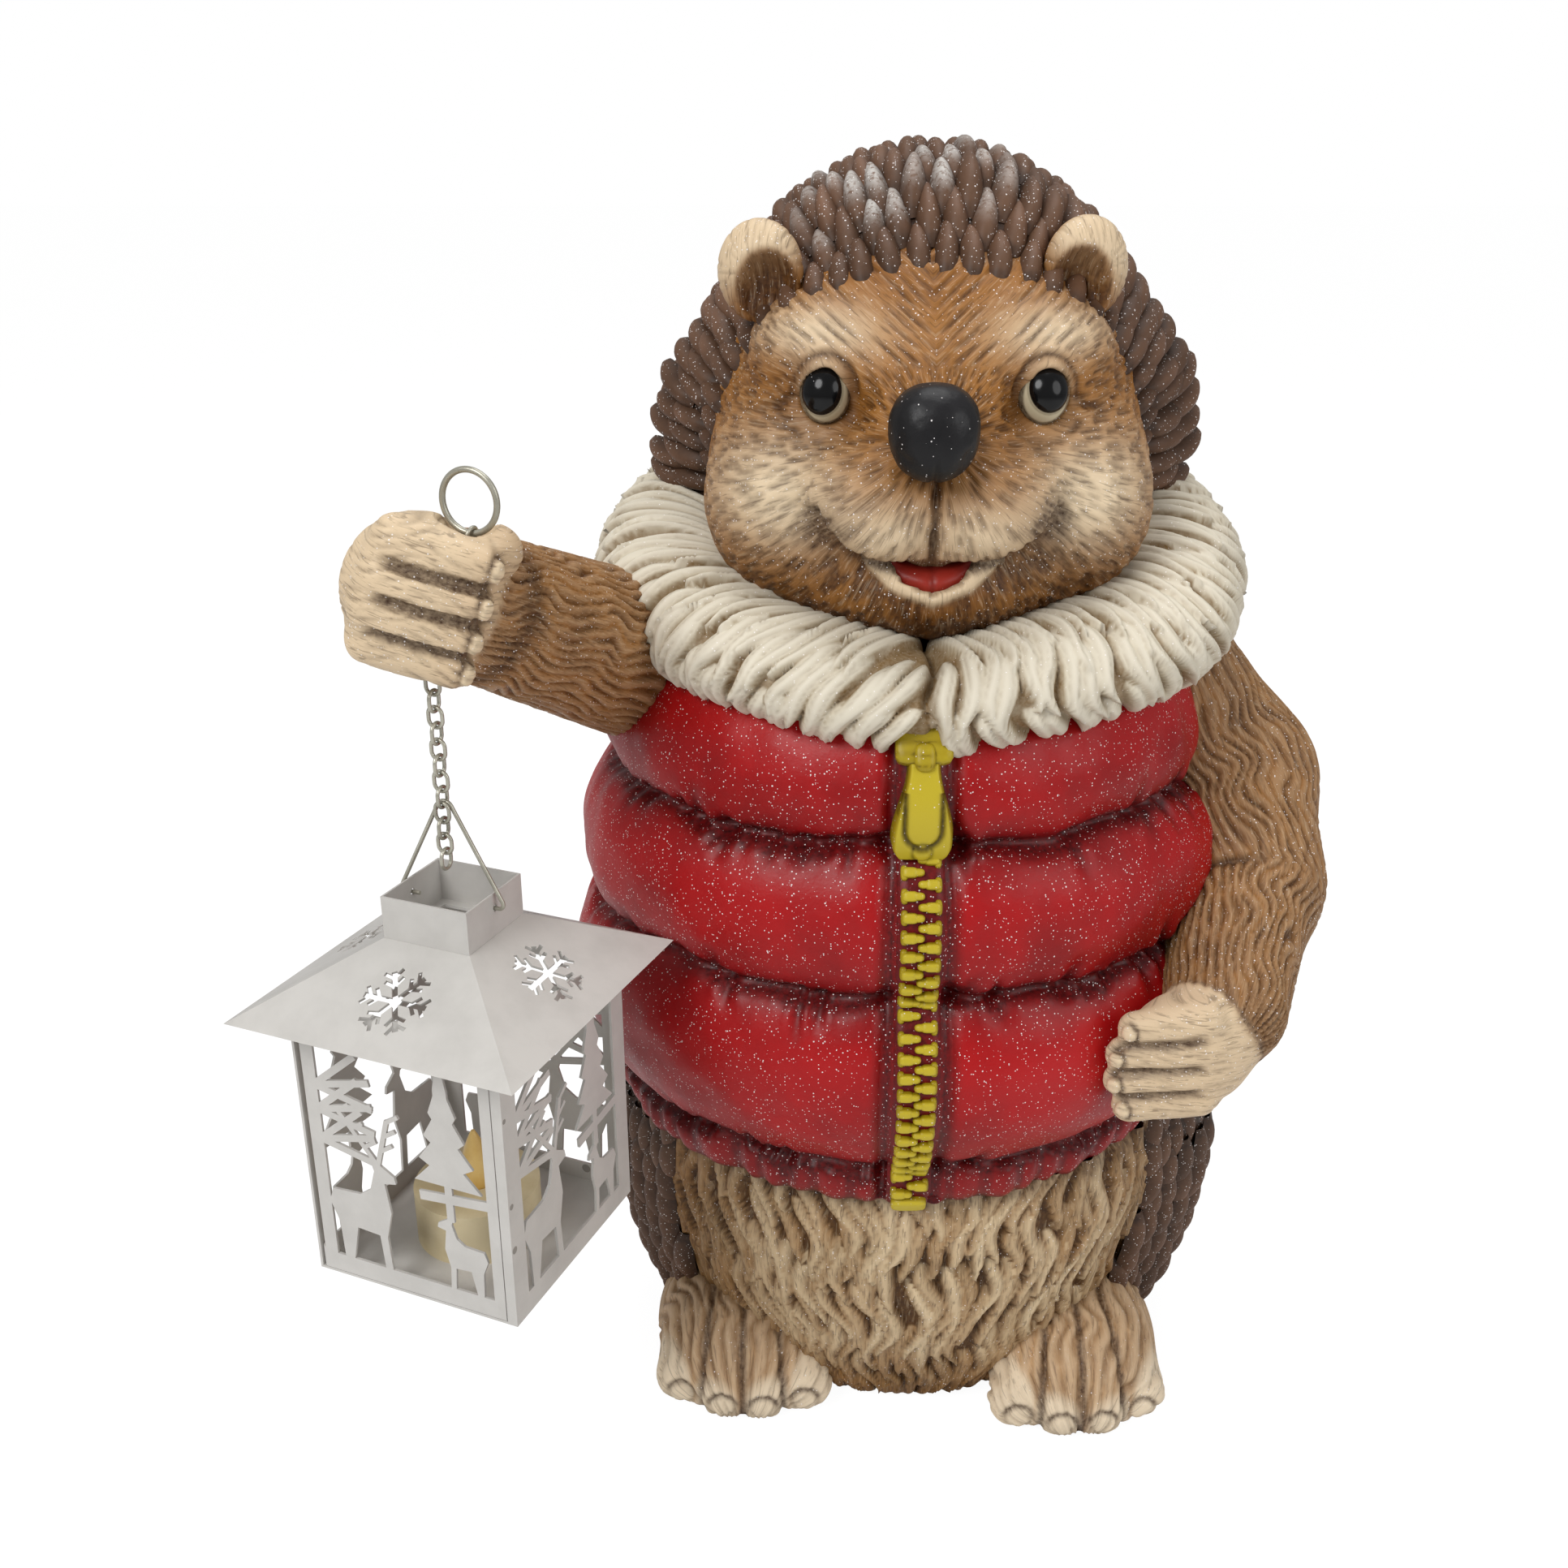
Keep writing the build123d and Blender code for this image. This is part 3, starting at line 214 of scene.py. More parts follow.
def skin(shape, low, high, size):
    """Quad skin of a distance inside a box, with cells of that size. Returns points, faces and normals."""
    axes = [np.arange(a - 2 * size, b + 3 * size, size) for a, b in zip(low, high)]
    counts = [len(a) for a in axes]
    field = np.empty(counts)
    for index, x in enumerate(axes[0]):
        layer = np.stack(np.meshgrid([x], axes[1], axes[2], indexing="ij"), -1).reshape(-1, 3)
        field[index] = shape(layer).reshape(counts[1:])
    inside = field < 0
    cells = tuple(n - 1 for n in counts)
    corner = lambda dx, dy, dz: (slice(dx, dx + cells[0]), slice(dy, dy + cells[1]), slice(dz, dz + cells[2]))
    total = sum(inside[corner(*o)].astype(np.int8) for o in np.ndindex(2, 2, 2))
    active = (total > 0) & (total < 8)
    where = np.argwhere(active)
    number = -np.ones(cells, np.int64)
    number[active] = np.arange(len(where))
    spot = np.zeros((len(where), 3))
    hits = np.zeros(len(where))
    for axis in range(3):
        unit = np.eye(3, dtype=int)[axis]
        for offset in np.ndindex(2, 2, 2):
            if offset[axis]:
                continue
            a = where + offset
            b = a + unit
            da = field[tuple(a.T)]
            db = field[tuple(b.T)]
            cross = (da < 0) != (db < 0)
            share = np.where(cross, da / np.where(cross, da - db, 1), 0)
            spot += np.where(cross[:, None], np.asarray(offset) + share[:, None] * unit, 0)
            hits += cross
    origin = np.asarray([a[0] for a in axes])
    points = origin + (where + spot / hits[:, None]) * size
    faces = []
    for axis in range(3):
        one, two = [(1, 2), (2, 0), (0, 1)][axis]
        unit = np.eye(3, dtype=int)
        ahead = [slice(None)] * 3
        ahead[axis] = slice(1, None)
        behind = [slice(None)] * 3
        behind[axis] = slice(None, -1)
        change = inside[tuple(behind)] != inside[tuple(ahead)]
        edge = np.argwhere(change)
        keep = (edge[:, one] > 0) & (edge[:, two] > 0)
        keep &= (edge[:, one] < cells[one]) & (edge[:, two] < cells[two])
        edge = edge[keep]
        ring = [edge - unit[one] - unit[two], edge - unit[two], edge, edge - unit[one]]
        quad = np.stack([number[tuple(each.T)] for each in ring], -1)
        out = inside[tuple(edge.T)]
        faces.append(np.where(out[:, None], quad, quad[:, ::-1]))
    faces = np.concatenate(faces)
    faces = faces[(faces >= 0).all(axis=1)]
    for _ in range(2):
        points = points - shape(points)[:, None] * slope(shape, points)
    return points, faces, slope(shape, points)


# Materials


def feed(tree, value, socket):
    """Sets an input, or links it where the value is another node's output."""
    if isinstance(value, bpy.types.NodeSocket):
        tree.links.new(value, socket)
    else:
        socket.default_value = value


def node(tree, kind, **settings):
    """New shader node with its settings and its inputs by name."""
    made = tree.nodes.new(kind)
    for key, value in settings.items():
        if hasattr(made, key):
            setattr(made, key, value)
        else:
            feed(tree, value, made.inputs[key.replace("_", " ")])
    return made


def colour(code):
    """Scene colour from a six-digit code."""
    parts = [int(code[i : i + 2], 16) / 255 for i in (1, 3, 5)]
    return tuple(p / 12.92 if p <= 0.04045 else ((p + 0.055) / 1.055) ** 2.4 for p in parts) + (1.0,)


def mix(tree, first, second, share):
    """Colour between two colours or sockets."""
    made = node(tree, "ShaderNodeMix", data_type="RGBA")
    for index, value in ((6, first), (7, second), (0, share)):
        feed(tree, value, made.inputs[index])
    return made.outputs[2]


def sums(tree, operation, first, second):
    """Number worked out from two numbers or sockets."""
    made = node(tree, "ShaderNodeMath", operation=operation)
    for index, value in enumerate((first, second)):
        feed(tree, value, made.inputs[index])
    return made.outputs[0]


def ranged(tree, value, low, high, first=0.0, last=1.0):
    """Number carried from the range low to high into the range first to last."""
    limits = {"From_Min": low, "From_Max": high, "To_Min": first, "To_Max": last}
    return node(tree, "ShaderNodeMapRange", Value=value, **limits).outputs[0]


def clouds(tree, place, scale, detail, rough, **settings):
    """Noise at a place."""
    settings.update(Scale=scale, Detail=detail, Roughness=rough)
    return node(tree, "ShaderNodeTexNoise", Vector=place, **settings).outputs["Fac"]


def mark(tree, name):
    """Value that a mesh holds for each point."""
    return node(tree, "ShaderNodeAttribute", attribute_name=name).outputs["Fac"]


def blank(name):
    """New material with its tree, its surface and the place on the object."""
    material = bpy.data.materials.new(name)
    material.use_nodes = True
    tree = material.node_tree
    place = node(tree, "ShaderNodeTexCoord").outputs["Object"]
    return material, tree, tree.nodes["Principled BSDF"], place


def dress(tree, surface, shown, shine, height, relief, depth):
    """Gives a surface its colour, its roughness and its relief."""
    raised = node(tree, "ShaderNodeBump", Height=height, Strength=relief, Distance=depth)
    feed(tree, shown, surface.inputs["Base Color"])
    feed(tree, shine, surface.inputs["Roughness"])
    feed(tree, raised.outputs[0], surface.inputs["Normal"])


def specks(tree, place, scale, size, share):
    """Mask of small round flecks, one in each chosen cell."""
    cells = node(tree, "ShaderNodeTexVoronoi", Vector=place, Scale=scale)
    split = node(tree, "ShaderNodeSeparateColor", Color=cells.outputs["Color"])
    chosen = sums(tree, "LESS_THAN", split.outputs[0], share)
    radius = sums(tree, "MULTIPLY", split.outputs[1], size)
    near = sums(tree, "LESS_THAN", cells.outputs["Distance"], radius)
    return sums(tree, "MULTIPLY", chosen, near)


def paint(name, base, shade, light, wash, rough=0.6, glitter=0.25, relief=0.15,
          hair=0.0, frost=None, dark=None):
    """Hand-painted resin: two base tones, a light tone for pale paint and painted highlights, a dark wash in grooves
    that also lays painted shade, hair, glitter and grain.
    """
    material, tree, surface, place = blank(name)
    surface.inputs["Specular IOR Level"].default_value = 0.28
    blotch = clouds(tree, place, 45.0, 4.0, 0.6)
    fine = clouds(tree, place, 700.0, 3.0, 0.6)
    shown = mix(tree, colour(base), colour(shade), ranged(tree, blotch, 0.35, 0.68))
    # Pale paint and painted highlights, from each point's light mark.
    shown = mix(tree, shown, colour(light), mark(tree, "light"))
    uneven = ranged(tree, fine, 0.25, 0.75, 0.55)
    # Dark groove wash and painted shade in creases, hollows and undersides, made patchy by fine noise.
    shown = mix(tree, shown, colour(wash), sums(tree, "MULTIPLY", mark(tree, "wash"), uneven))
    height = fine
    if hair:
        flow = node(tree, "ShaderNodeAttribute", attribute_name="flow").outputs["Vector"]
        drawn = node(tree, "ShaderNodeMapping", Vector=flow, Scale=(1.35, 0.16, 1.0)).outputs[0]
        lines = clouds(tree, drawn, 1.0, 3.0, 0.65, Distortion=0.6)
        shown = mix(tree, shown, colour(light), ranged(tree, lines, 0.46, 0.34, last=0.45 * hair))
        shown = mix(tree, shown, colour(wash), ranged(tree, lines, 0.54, 0.66, last=hair))
        height = sums(tree, "SUBTRACT", height, sums(tree, "MULTIPLY", lines, 2.0))
    if frost:
        white = sums(tree, "MULTIPLY", mark(tree, "frost"), ranged(tree, fine, 0.3, 0.52))
        shown = mix(tree, shown, colour(frost), white)
    if dark:
        shown = mix(tree, shown, colour(dark), mark(tree, "dark"))
    small = specks(tree, place, 1500.0, 0.36, glitter)
    large = specks(tree, place, 720.0, 0.2, glitter * 0.7)
    fleck = sums(tree, "MAXIMUM", small, large)
    shown = mix(tree, shown, colour("#F1ECEA"), sums(tree, "MULTIPLY", fleck, 0.8))
    shine = ranged(tree, fine, 0.0, 1.0, rough, rough - 0.18)
    dress(tree, surface, shown, shine, sums(tree, "ADD", height, fleck), relief, 0.0006)
    return material


FUR = paint("brown_fur", "#9A662A", "#83521B", "#DFC9A8", "#351A07", glitter=0.22, hair=0.45)
BELLY = paint("tan_fur", "#936733", "#7B5521", "#DAC4A0", "#31190A", glitter=0.12, hair=0.5)
FEET = paint("foot_fur", "#B07E42", "#996A31", "#E6D4B8", "#3A1F0A", glitter=0.06, hair=0.4)
QUILL = paint("quills", "#6A4C38", "#533A29", "#876551", "#1E120A", rough=0.62, glitter=0.3, frost="#CFCDC8")
FLEECE = paint("collar_fur", "#CBC1AC", "#BCAF94", "#DBD3C1", "#775727", glitter=0.12, relief=0.1)
VEST = paint("red_vest", "#A3070B", "#870609", "#B51015", "#2A0405", rough=0.5, glitter=0.32)
ZIP = paint("gold_zip", "#A08A12", "#856F0C", "#BDA92A", "#2C2207", rough=0.45, glitter=0.1)
NOSE = paint("black_nose", "#141315", "#100F10", "#1F1E21", "#080708", rough=0.5, glitter=0.06)
EYE = paint("eye", "#C9C0A6", "#BDB295", "#D9D2BC", "#2E1D0E", rough=0.24, glitter=0.02,
            dark="#0B0B0C", relief=0.03)
MOUTH = paint("red_mouth", "#8E1F14", "#73170D", "#A8362A", "#240805", rough=0.45, glitter=0.06)


# Locks of fur that overlap on a sheet


def lay_locks(across, along, period, homes, flow, seed):
    """Overlapping tapered locks on a sheet that closes after a period across. A home is a place across
    and along, a length and a half width; flow is the shift across at a place across and along.
    Returns height, ridge and edge, and a share from 0 to 1 for each lock."""
    height = np.zeros(across.shape)
    ridge = np.zeros(across.shape)
    edge = np.ones(across.shape)
    own = np.zeros(across.shape)
    for index, (home, start, length, wide) in enumerate(homes):
        offset = np.mod(across[0] - home + period / 2, period) - period / 2
        near = np.abs(offset) < wide + 42
        share = (along[:, near] - start) / length
        inside = np.clip(share, 0, 1)
        drift = flow(home, along[:, near]) - flow(home, start)
        wave = 1.8 * np.sin(2 * np.pi * (1.2 * inside + hashed(index, seed))) * inside
        half = wide * np.sin(np.pi * (0.1 + 0.9 * inside) ** 0.8) ** 0.6 + 0.01
        gap = np.abs(np.mod(across[:, near] - home - drift - wave + period / 2, period) - period / 2) / half
        there = (share > 0) & (share < 1) & (gap < 1)
        round_top = np.sqrt(np.clip(1 - gap**2, 0, 1))
        strands = 0.16 * bump(gap, 0.42, 0.1)
        swell = (0.1 + 0.75 * round_top - strands) * step(-0.1, 0.25, inside)
        grown = np.where(there, swell + 0.3 * inside**2, 0)
        better = grown > height[:, near]
        height[:, near] = np.where(better, grown, height[:, near])
        ridge[:, near] = np.where(better, round_top, ridge[:, near])
        edge[:, near] = np.where(better, step(0.66, 0.95, gap) + 2.2 * strands, edge[:, near])
        own[:, near] = np.where(better, hashed(index, seed + 1), own[:, near])
    return height, ridge, np.clip(edge, 0, 1), own


# Vest: puffed rows between drawn-in seams, wrinkled beside them, with a gathered hem

DEPTH = 0.95
ROWS = ((106.0, 95.0, 2.5), (121.0, 97.0, 13.0), (184.0, 103.0, 9.5), (231.0, 96.0, 11.0), (279.0, 78.0, 0.0))
HALF_LAP = 314.159


def vest_radius(z):
    """Radius of the vest's outer face at a height."""
    radius = np.zeros_like(z)
    for (z0, r0, puff), (z1, r1, _) in zip(ROWS, ROWS[1:]):
        share = np.clip((z - z0) / (z1 - z0), 0, 1)
        here = (z >= z0) & (z <= z1)
        swell = puff * (1 - np.abs(2 * share - 1) ** 2.3)
        radius = np.where(here, r0 + (r1 - r0) * share + swell, radius)
    return radius


def vest():
    rows, columns = 172, 560
    z, angle = wrapped(ROWS[0][0], ROWS[-1][0], rows, columns)
    radius = vest_radius(z)
    arc = angle * 100.0
    flat = np.stack([arc, np.zeros_like(arc), z], -1).reshape(-1, 3)
    radius = radius + 1.2 * noise(flat, 28.0, 3).reshape(z.shape) + 0.5 * noise(flat, 9.0, 4).reshape(z.shape)
    wash = np.zeros_like(z)
    light = np.zeros_like(z)
    for index, (seam, _, _) in enumerate(ROWS[1:4]):
        wave = seam + 1.4 * np.sin(angle * 7 + index) + 0.8 * np.sin(angle * 17 + 2 * index)
        radius -= 2.6 * bump(z, wave, 2.2)
        # Painted shade darkens the drawn-in seams.
        wash += 0.95 * bump(z, wave, 3.2) + 0.3 * bump(z, wave, 7.5)
        for side, count in ((1, 30), (-1, 34)):
            for nick in range(count):
                spot = (hashed(nick, index, side + 5) * 2 - 1) * np.pi
                length = 6 + 13 * hashed(nick, index, side + 9) ** 2
                width = 1.3 + 1.5 * hashed(nick, index, side + 13)
                lean = 0.5 * (hashed(nick, index, side + 17) - 0.5)
                depth = 0.7 + 1.6 * hashed(nick, index, side + 21)
                away = (z - wave) * side
                over = np.mod((angle - spot) * 100 - lean * away + HALF_LAP, 2 * HALF_LAP) - HALF_LAP
                strength = step(length, 2.0, away) * (away > -3)
                radius -= depth * strength * bump(over, 0, width)
                radius += 0.4 * depth * strength * bump(np.abs(over), 2.2 * width, width)
                # Painted shade darkens each wrinkle beside the seams.
                wash += 0.75 * strength * bump(over, 0, width)
    hem = step(121.0, 118.5, z)
    ribs = np.sin(angle * 62 + 2.0 * np.sin(angle * 5) + 1.5 * np.sin(angle * 13))
    radius += hem * (0.8 * ribs + 0.6 * np.sin(angle * 23))
    # Painted shade darkens the hem between its ribs and along its lower edge.
    wash += hem * (0.25 + 0.4 * step(-0.2, -0.9, ribs)) + 0.5 * bump(z, 106.0, 1.6)
    crease = np.abs(angle) * 98.0
    radius -= 2.4 * bump(crease, 8.6, 2.2) * (z > 108)
    # Painted shade darkens the front crease where the zip sits.
    wash += 0.8 * bump(crease, 8.6, 2.0) + 0.45 * (crease < 8.6)
    light += 0.5 * step(0.4, 1.0, noise(flat, 40.0, 8).reshape(z.shape)) * (1 - hem)
    # Painted highlight along the upper part of each puffed row.
    for (low, _, _), (high, _, _) in zip(ROWS[1:], ROWS[2:]):
        light += 0.35 * bump(z, low + 0.66 * (high - low), 0.2 * (high - low))
    grid = np.stack([radius * np.sin(angle), -radius * np.cos(angle) * DEPTH, z], -1)
    under = [grid[0] * (share, share, 1) + (0, 0, lift) for share, lift in ((0.9, 0.9), (0.985, -0.0))]
    over = [grid[-1] * (share, share, 1) + (0, 0, 0.2) for share in (0.9, 0.5)]
    grid = np.concatenate([[under[0]], [under[1]], grid, [over[0]], [over[1]]])
    faces = sheet_faces(len(grid), columns, True)
    build("quilted_vest", grid.reshape(-1, 3), faces, VEST, ["vest"], "vest_red",
          wash=pad(wash, 2, 2), light=pad(light, 2, 2))


vest()


# Belly: long wavy locks that lean to the middle

BELLY_X = 5.0


def belly_radius(z):
    """Radius of the belly under the vest's hem at a height."""
    share = z / 106.0
    return 68 + 26 * share + 8.5 * (1 - (2 * share - 1) ** 2)


def belly():
    rows, columns = 130, 560
    z, angle = wrapped(0.0, 107.0, rows, columns)
    scale = 84.0
    homes = []
    for row in range(7):
        count = 76
        for index in range(count):
            key = row * 97 + index
            home = ((index + 0.5 * (row % 2) + 0.5 * (hashed(key, 11) - 0.5)) / count * 2 - 1) * np.pi * scale
            start = row * 16.0 - 12.0 + 12.0 * hashed(key, 12)
            homes.append((home, start, 24 + 10 * hashed(key, 13), 3.0 + 1.0 * hashed(key, 14)))

    def lean(home, down):
        return -0.16 * np.tanh(home / 25.0) * down + 2.8 * np.sin(down / 7.0 + home / 17.0)

    height, ridge, edge, own = lay_locks(angle * scale, 107.0 - z, 2 * np.pi * scale, homes, lean, 15)
    radius = belly_radius(z) - 1.6 - 3.5 * step(5.0, 0.0, z) ** 2 + 4.2 * (height - 0.6)
    # Painted shade between the locks, under the vest's hem, near the floor and toward the sides; pale paint and painted
    # highlight on the lock ridges in the middle.
    wash = 0.9 * edge + 0.6 * step(96.0, 106.0, z) + 0.5 * step(10.0, 1.0, z)
    wash += 0.3 * step(0.7, 1.2, np.abs(angle))
    light = ridge**2 * (0.3 + 0.7 * own) * step(1.3, 0.3, np.abs(angle - 0.1)) * step(4.0, 40.0, z)
    grid = np.stack([BELLY_X + radius * np.sin(angle) * 1.03, -radius * np.cos(angle) * 0.93, z], -1)
    floor = (grid[0] - (BELLY_X, 0, 0)) * (0.5, 0.5, 1) + (BELLY_X, 0, 0)
    middle = (grid[0] - (BELLY_X, 0, 0)) * (0.02, 0.02, 1) + (BELLY_X, 0, 0)
    grid = np.concatenate([[middle], [floor], grid])
    faces = sheet_faces(len(grid), columns, True)
    build("belly_fur", grid.reshape(-1, 3), faces, BELLY, ["belly"], "fur_tan",
          (pad(angle * scale, 2, 0), pad(z, 2, 0)), wash=pad(wash, 2, 0), light=pad(light, 2, 0))


belly()


# Collar: thick ring of curling locks, parted at the front

COLLAR_R = 96.0


def collar():
    rows, columns = 126, 780
    turn = np.linspace(-np.pi, np.pi, columns, endpoint=False)[None, :]
    tube = np.linspace(-np.pi, np.pi, rows)[:, None]
    angle = turn + np.zeros_like(tube)
    phase = tube + np.zeros_like(turn)
    back = (1 - np.cos(angle)) / 2
    crest, foot_z = 287.5 + 48.0 * back**0.8, 256.5 + 20.0 * back**0.5
    middle_z, half_z = (crest + foot_z) / 2, (crest - foot_z) / 2
    half_r = 26.5 - 1.0 * back
    along = phase * 24.0
    arc = angle * COLLAR_R
    period = 2 * np.pi * COLLAR_R
    homes = []
    for ring, (start, length, count) in enumerate(((-62.0, 48.0, 96), (-32.0, 46.0, 104), (-4.0, 42.0, 104))):
        for index in range(count):
            key = ring * 97 + index
            home = ((index + 0.5 * (ring % 2) + 0.6 * (hashed(key, 31) - 0.5)) / count - 0.5) * period
            homes.append((home, start + 16 * (hashed(key, 32) - 0.5), length * (0.8 + 0.3 * hashed(key, 33)),
                          2.9 + 1.1 * hashed(key, 34)))

    def sweep(home, down):
        share = np.clip((down + 50.0) / 80.0, 0, 1.2)
        if home < 0:
            return -30.0 * (1 - (1 - share) ** 2) + 2.5 * np.sin(5 * share + home / 40.0)
        return 17.0 * share + 5.0 * np.sin(6.3 * share + home / 50.0)

    height, ridge, edge, _ = lay_locks(arc, -along, period, homes, sweep, 35)
    flat = np.stack([arc, along, np.zeros_like(arc)], -1).reshape(-1, 3)
    lift = 4.4 * (height - 0.62) + 1.6 * noise(flat, 30.0, 43).reshape(arc.shape)
    split = bump(arc + 1.2 * np.sin(along / 7.0), -2.0, 1.7)
    lift -= 4.5 * split * step(-0.4, 0.6, np.cos(phase - 0.4))
    ring_r = 78.0 + half_r * np.cos(phase)
    grid = np.stack([
        4.0 + ring_r * np.sin(angle),
        -ring_r * np.cos(angle) * DEPTH,
        middle_z + half_z * np.sin(phase),
    ], -1)
    normal = grid_normals(grid)
    grid = grid + normal * lift[..., None]
    # Painted shade between the locks, in the front parting, on the inner side of the ring and in the low places; pale
    # paint and painted highlight on the lock tops.
    wash = edge * (0.78 + 0.4 * noise(flat, 9.0, 45).reshape(arc.shape)) + 0.7 * split
    wash += 0.5 * step(-0.35, -0.8, np.cos(phase)) + 0.2 * step(0.35, 0.1, height)
    light = 0.9 * ridge**2
    build("collar_locks", grid.reshape(-1, 3), sheet_faces(rows, columns, True), FLEECE, ["collar"],
          "collar_white", wash=wash, light=light)


collar()


# Head: skull, cheeks and muzzle, with strokes that spread from the nose

HEAD = np.array([4.0, -8.0, 344.0])


def head_shape(points):
    """Distance to the head without its carved strokes."""
    shape = ellipsoid(points, (4, -8, 345), (65, 61, 57))
    for side in (-1, 1):
        shape = merge(shape, ellipsoid(points, (4 + side * 36.5, -34, 321), (31, 32, 32)), 14)
        shape = merge(shape, ellipsoid(points, (2.5 + side * 31, -44, 366), (19, 14, 12)), 12)
    shape = merge(shape, ellipsoid(points, (2, -45, 302), (38, 33, 20)), 12)
    shape = merge(shape, ellipsoid(points, (1, -52, 346), (20, 27, 19)), 14)
    for side in (-1, 1):
        shape = merge(shape, ellipsoid(points, (2 + side * 14, -62, 327), (21, 24, 17)), 7)
    for side in (-1, 1):
        shape = cut_away(shape, ellipsoid(points, (2.8 + side * 30.5, -66, 354), (11, 12, 9)), 6)
    return shape


def line_reach(x, z, points):
    """Distance in the front view to a bent line, and the share of it passed."""
    best = np.full(x.shape, 1e9)
    place = np.zeros(x.shape)
    total = sum(math.dist(a, b) for a, b in zip(points, points[1:]))
    done = 0.0
    for (x0, z0), (x1, z1) in zip(points, points[1:]):
        length = math.dist((x0, z0), (x1, z1))
        share = np.clip(((x - x0) * (x1 - x0) + (z - z0) * (z1 - z0)) / length**2, 0, 1)
        reach = np.hypot(x - x0 - share * (x1 - x0), z - z0 - share * (z1 - z0))
        place = np.where(reach < best, (done + share * length) / total, place)
        best = np.minimum(best, reach)
        done += length
    return best, place


SMILE = ((-30, 326), (-27.5, 321), (-22, 316), (-16, 312.8), (-9.5, 311.2), (2, 310.6),
         (14.4, 311.2), (21, 312.8), (27.5, 316), (33.5, 321), (36, 326))
LOWER_LIP = ((-10.5, 311.5), (-6, 306.0), (2.4, 303.0), (10.5, 306.0), (15.4, 311.5))
LIP_RIM = ((-18, 311), (-9, 303.5), (2.4, 299.6), (13.5, 303.5), (23, 311))


